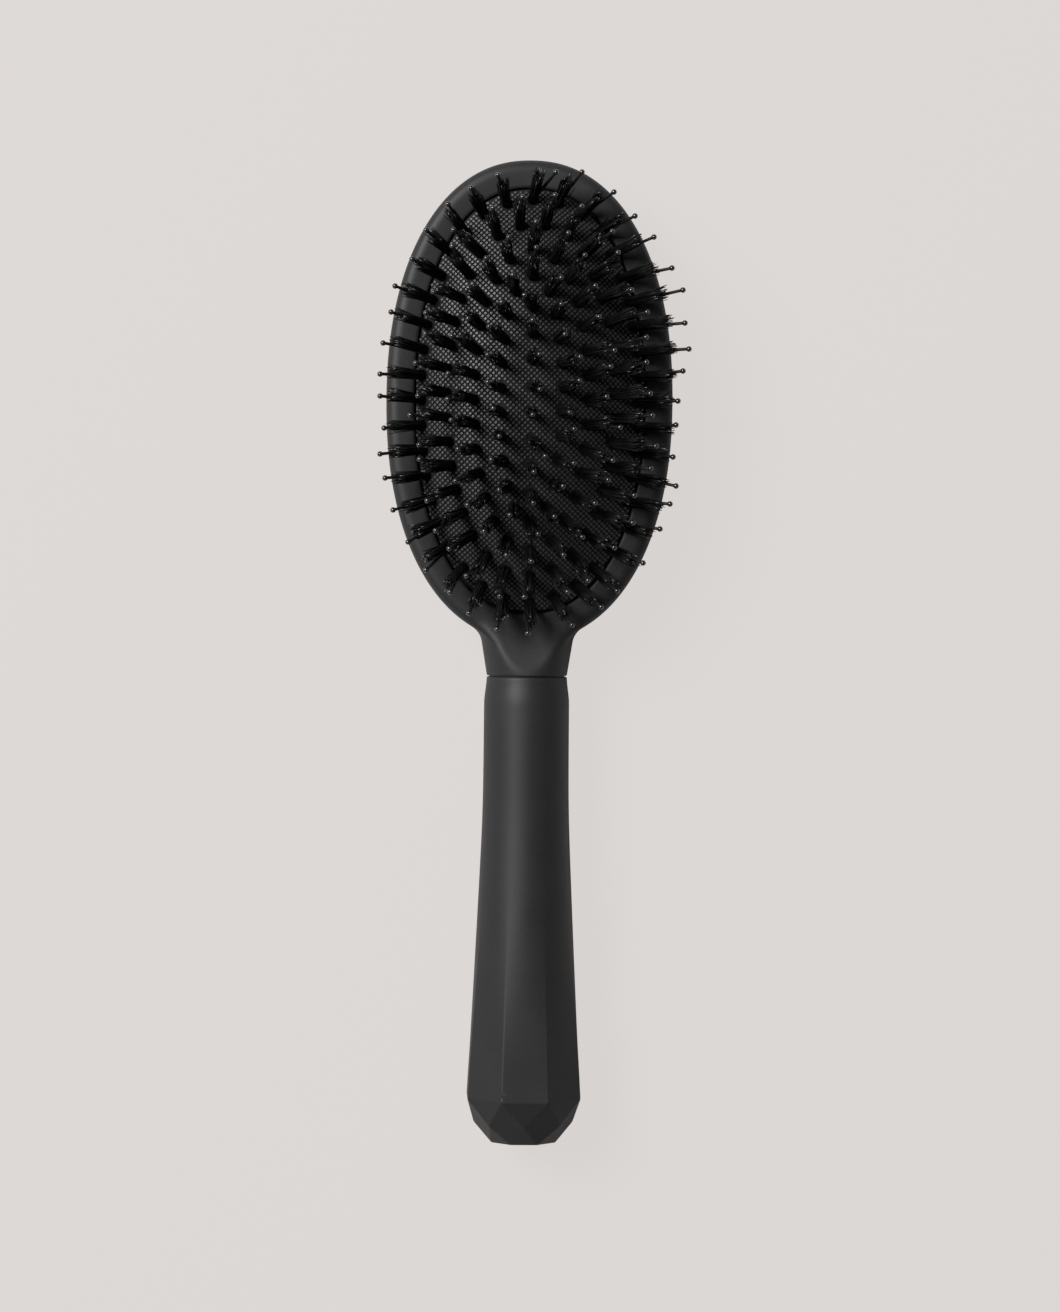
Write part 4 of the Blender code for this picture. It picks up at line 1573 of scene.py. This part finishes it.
@dataclass(frozen=True)
class PhotoCamera:
    """The camera that the photograph was fitted with, looking down at the brush."""

    place: tuple[float, float, float] = (-0.0335, 0.0237, 1.0141)
    tilt_degrees: float = -1.42
    yaw_degrees: float = -1.95
    roll_degrees: float = 0.49
    focal_pixels: float = 4004.7
    width_pixels: int = 1060
    height_pixels: int = 1312
    sensor_height: float = 36.0

    @property
    def turn(self) -> Euler:
        """Return the camera's turn."""
        angles = (self.tilt_degrees, self.yaw_degrees, self.roll_degrees)
        return Euler([math.radians(angle) for angle in angles], "XYZ")

    def reach(self, pixel: Pair, root: Vector, length: float) -> Vector:
        """Return the way from a root to the point of that length behind a pixel.

        Args:
            pixel: the place in the photograph.
            root: the start, in the brush's frame.
            length: how far the point is from the root.

        Returns:
            The unit direction; where no point fits, the nearest to it.
        """
        across = (pixel[0] - self.width_pixels / 2) / self.focal_pixels
        up = (self.height_pixels / 2 - pixel[1]) / self.focal_pixels
        ray = (self.turn.to_matrix() @ Vector((across, up, -1))).normalized()
        start = Vector(self.place)
        miss = start + ray * (root - start).dot(ray) - root
        behind = math.sqrt(max(length ** 2 - miss.length_squared, 0.0))
        return (miss - ray * behind).normalized()

    def build(self) -> None:
        """Add the camera and make it the scene's."""
        data = bpy.data.cameras.new("photo_camera")
        data.sensor_fit = "VERTICAL"
        data.sensor_height = self.sensor_height
        data.lens = self.focal_pixels * self.sensor_height / self.height_pixels
        camera = bpy.data.objects.new("photo_camera", data)
        camera.location = self.place
        camera.rotation_euler = self.turn
        bpy.context.scene.collection.objects.link(camera)
        bpy.context.scene.camera = camera


@dataclass
class Studio:
    """A pale table under a soft lamp at the upper left, in a dim room."""

    table_size: float = 24.0
    key_way: tuple[float, float, float] = (-0.53, 0.345, 0.775)
    key_distance: float = 1.5
    key_size: float = 0.75
    key_power: float = 24.0
    wall_level: float = 0.24
    ceiling_level: float = 0.065
    aim: tuple[float, float, float] = (0.0, 0.03, 0.02)

    def build(self) -> None:
        """Build the table, the room and the lamp."""
        self.build_table()
        self.build_room()
        self.build_key()
        bpy.context.scene.view_settings.view_transform = "Standard"

    def build_table(self) -> None:
        """Add the table's top."""
        half = self.table_size / 2
        mesh = bpy.data.meshes.new("table_top")
        corners = [(-half, -half, 0), (half, -half, 0), (half, half, 0), (-half, half, 0)]
        mesh.from_pydata(corners, [], [(0, 1, 2, 3)])
        mesh.materials.append(Finish.CARD.material())
        new_piece("table_top", mesh)

    def build_room(self) -> None:
        """Add a room whose walls are brighter than its ceiling; the camera sees card."""
        world = bpy.data.worlds.new("room")
        world.use_nodes = True
        bpy.context.scene.world = world
        world.node_tree.nodes.clear()
        sketch = Sketch(world.node_tree)
        seen = sketch.add("ShaderNodeLightPath", {}, {}, "Is Camera Ray")
        card = Finish.CARD.value
        rise = sketch.add("ShaderNodeTexCoord", {}, {}, "Generated").part("Z").apply("ABSOLUTE")
        strength = self.wall_level + (self.ceiling_level - self.wall_level) * rise
        light = sketch.add("ShaderNodeBackground", {}, {"Color": (1, 1, 1, 1), "Strength": strength})
        level = card.own_share + (1 - card.own_share) * self.ceiling_level
        look = sketch.add("ShaderNodeBackground", {}, {"Color": (*card.colour, 1), "Strength": level})
        mixed = sketch.add("ShaderNodeMixShader", {}, {0: seen, 1: light, 2: look})
        sketch.end("ShaderNodeOutputWorld", mixed)

    def build_key(self) -> None:
        """Add the lamp."""
        data = bpy.data.lights.new("key", "AREA")
        data.shape = "DISK"
        data.size = self.key_size
        data.energy = self.key_power
        lamp = bpy.data.objects.new("key", data)
        way = Vector(self.key_way).normalized()
        lamp.location = Vector(self.aim) + way * self.key_distance
        lamp.rotation_euler = way.to_track_quat("Z", "Y").to_euler()
        bpy.context.scene.collection.objects.link(lamp)


# The tufts

@dataclass
class TuftRow:
    """One row of tufts: a bundle of fine bristles round each longer pin."""

    pad: CushionPad
    row: RowName
    camera: PhotoCamera
    ball_pixels: Sequence[tuple[int, int]] = ()
    hair_count: int = 100
    hair_length: float = 0.0150
    hair_radius: float = 0.00018
    hair_taper: float = 0.55
    hair_sides: int = 3
    hair_segments: int = 3
    hair_bend: float = 0.00030
    length_play: float = 0.30
    length_power: float = 1.5
    bundle_radius: float = 0.00115
    splay: float = 0.024
    stray: float = 0.016
    stray_least: float = 0.3
    stray_gain: float = 4.0
    stray_power: int = 6
    clump: float = 0.110
    clump_size: float = 0.0011
    pin_length: float = 0.0200
    pin_radius: float = 0.00044
    pin_tip_radius: float = 0.00038
    pin_sides: int = 8
    pin_segments: int = 3
    ball_radius: float = 0.00069
    ball_segments: int = 20
    ball_rings: int = 12
    root_depth: float = 0.0008
    pin_wander: float = 0.060
    bundle_wander: float = 0.036
    bundle_upright_share: float = 0.94
    bundle_pin_share: float = 0.5
    seed: int = 11

    def places(self) -> bpy.types.Object:
        """Make the object whose vertices are the row's roots.

        Returns:
            The object, with the way of each tuft's bundle and pin, and a way
            to its side, stored on its vertices.
        """
        lot = random.Random(self.seed + self.row.step)
        flats = self.pad.row_points(self.row)
        mesh = bpy.data.meshes.new(self.row.label + "_roots")
        roots = [self.pad.seat.head_centre + self.pad.lifted(p, self.root_depth) for p in flats]
        mesh.from_pydata(roots, [], [])
        names = ("bundle_way", "pin_way", "sideways")
        bundles, pins, sides = [mesh.attributes.new(name, "FLOAT_VECTOR", "POINT") for name in names]
        for i, flat in enumerate(flats):
            out = self.pad.normal(flat.x, flat.y)
            way = (out + Vector((lot.gauss(0, 1), lot.gauss(0, 1), 0)) * self.pin_wander).normalized()
            if self.ball_pixels:
                way = self.camera.reach(self.ball_pixels[i], roots[i], self.pin_length - self.ball_radius)
            wander = Vector((lot.gauss(0, 1), lot.gauss(0, 1), 0)) * self.bundle_wander
            heading = out * self.bundle_upright_share + way * self.bundle_pin_share + wander
            pins.data[i].vector = way
            bundles.data[i].vector = heading.normalized()
            sides.data[i].vector = out.orthogonal().normalized()
        return new_piece(mesh.name, mesh)

    def hair(self, tree: GeometrySketch) -> Socket:
        """Draw one bristle, one unit long, which bends a little to its +X side.

        Args:
            tree: the tree that is drawn in.

        Returns:
            The bristle, with its height stored as tip.
        """
        radius = tree.input("Hair Radius")
        cone = tree.add("GeometryNodeMeshCone", {"fill_type": "NGON"}, {
            "Vertices": self.hair_sides,
            "Side Segments": self.hair_segments,
            "Radius Top": radius * self.hair_taper,
            "Radius Bottom": radius,
            "Depth": 1.0,
        })
        height = tree.position().part("Z")
        bend = tree.vector(tree.input("Bend") * height * height, 0, 0)
        kept = tree.store(cone, "tip", height)
        return tree.add("GeometryNodeSetPosition", {}, {"Geometry": kept, "Offset": bend})

    def bundle_tree(self) -> GeometrySketch:
        """Draw the tree that grows a bundle of bristles on every root.

        Returns:
            The tree.
        """
        tree = GeometrySketch("bristle_bundles", {
            "Count": self.hair_count,
            "Length": self.hair_length,
            "Hair Radius": self.hair_radius,
            "Bundle Radius": self.bundle_radius,
            "Splay": self.splay,
            "Stray": self.stray,
            "Clump": self.clump,
            "Bend": self.hair_bend,
            "Fibre": Finish.FIBRE.material(),
        })
        roots = tree.add("GeometryNodeMeshToPoints", {}, {"Mesh": tree.input("Geometry")})
        many = tree.add("GeometryNodeDuplicateElements", {"domain": "POINT"}, {
            "Geometry": roots, "Amount": tree.input("Count"),
        })
        way, side = tree.attribute("bundle_way"), tree.attribute("sideways")
        other = way.cross(side)
        angle = tree.random(0.0, math.tau, self.seed + 1)
        share = tree.random(0.0, 1.0, self.seed + 2).apply("SQRT")
        radial = side * angle.apply("COSINE") + other * angle.apply("SINE")
        stray = side * tree.random(-1.0, 1.0, self.seed + 3) + other * tree.random(-1.0, 1.0, self.seed + 4)
        wild = self.stray_least + self.stray_gain * tree.random(0.0, 1.0, self.seed + 5) ** self.stray_power
        offset = radial * (share * tree.input("Bundle Radius"))
        drift = tree.add("ShaderNodeTexNoise", {}, {
            "Vector": tree.position() + offset, "Scale": 1 / self.clump_size, "Detail": 0.0,
        }, "Color")
        heading = way + radial * (share * tree.input("Splay")) + stray * (tree.input("Stray") * wild)
        heading = heading + (drift - (0.5, 0.5, 0.5)) * tree.input("Clump")
        spread = tree.add("GeometryNodeSetPosition", {}, {
            "Geometry": tree.store(many, "heading", heading), "Offset": offset,
        })
        spin = tree.add("FunctionNodeAxisAngleToRotation", {}, {
            "Axis": (0, 0, 1), "Angle": tree.random(0.0, math.tau, self.seed + 6),
        })
        turn = tree.add("FunctionNodeRotateRotation", {"rotation_space": "LOCAL"}, {
            "Rotation": tree.upright_on("heading"), "Rotate By": spin,
        })
        shorter = tree.random(0.0, self.length_play, self.seed + 7) ** self.length_power
        size = tree.vector(1, 1, tree.input("Length") * (1 - shorter))
        tree.close(tree.copies(spread, self.hair(tree), turn, Scale=size), "Fibre")
        return tree

    def pin_tree(self) -> GeometrySketch:
        """Draw the tree that sets a ball-tipped pin on every root.

        Returns:
            The tree.
        """
        tree = GeometrySketch("ball_pins", {
            "Length": self.pin_length - self.ball_radius,
            "Root Radius": self.pin_radius,
            "Tip Radius": self.pin_tip_radius,
            "Ball Radius": self.ball_radius,
            "Nylon": Finish.PIN.material(),
        })
        shaft = tree.add("GeometryNodeMeshCone", {"fill_type": "NGON"}, {
            "Vertices": self.pin_sides,
            "Side Segments": self.pin_segments,
            "Radius Top": tree.input("Tip Radius"),
            "Radius Bottom": tree.input("Root Radius"),
            "Depth": tree.input("Length"),
        })
        ball = tree.add("GeometryNodeMeshUVSphere", {}, {
            "Segments": self.ball_segments, "Rings": self.ball_rings, "Radius": tree.input("Ball Radius"),
        })
        ball = tree.add("GeometryNodeTransform", {}, {
            "Geometry": ball, "Translation": tree.vector(0, 0, tree.input("Length")),
        })
        pin = tree.add("GeometryNodeJoinGeometry", {}, {"Geometry": [shaft, tree.store(ball, "ball", 1.0)]})
        tree.close(tree.copies(tree.input("Geometry"), pin, tree.upright_on("pin_way")), "Nylon")
        return tree

    def build(self) -> None:
        """Build the row's bundles and pins and hang them on its body."""
        for kind, tree in (("bristles", self.bundle_tree()), ("pins", self.pin_tree())):
            name = f"{self.row.label}_row_{kind}"
            piece = new_piece(name, tree.grow(self.places(), name))
            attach(piece, self.row.body)
            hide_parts(*self.row.nodes())
            LOG.info("%s: %d faces", name, len(piece.data.polygons))


# The outer row's balls as read off the photograph, from the handle end towards +X
OUTER_BALL_PIXELS = (
    (528, 633), (572, 625), (601, 607), (617, 591), (643, 563), (660, 529), (670, 504), (676, 486),
    (673, 457), (676, 425), (678, 401), (683, 371), (689, 349), (685, 323), (683, 290), (672, 268),
    (654, 237), (635, 216), (614, 192), (582, 172), (556, 172), (498, 175), (471, 188), (448, 204),
    (426, 230), (412, 259), (395, 286), (391, 312), (383, 343), (380, 374), (380, 396), (384, 428),
    (380, 454), (385, 478), (393, 510), (408, 542), (426, 570), (450, 592), (469, 613), (497, 629),
)


def main() -> None:
    """Build the brush and its studio."""
    logging.basicConfig(level=logging.INFO, format="%(name)s: %(message)s")
    seat = Seat()
    camera = PhotoCamera()
    camera.build()
    Studio().build()
    head = HeadMoulding(seat)
    head.build()
    Grip(seat, head.neck_radius).build()
    pad = CushionPad(seat)
    pad.build()
    for row in RowName:
        balls = OUTER_BALL_PIXELS if row is RowName.OUTER else ()
        TuftRow(pad, row, camera, balls).build()


if __name__ == "__main__":
    main()
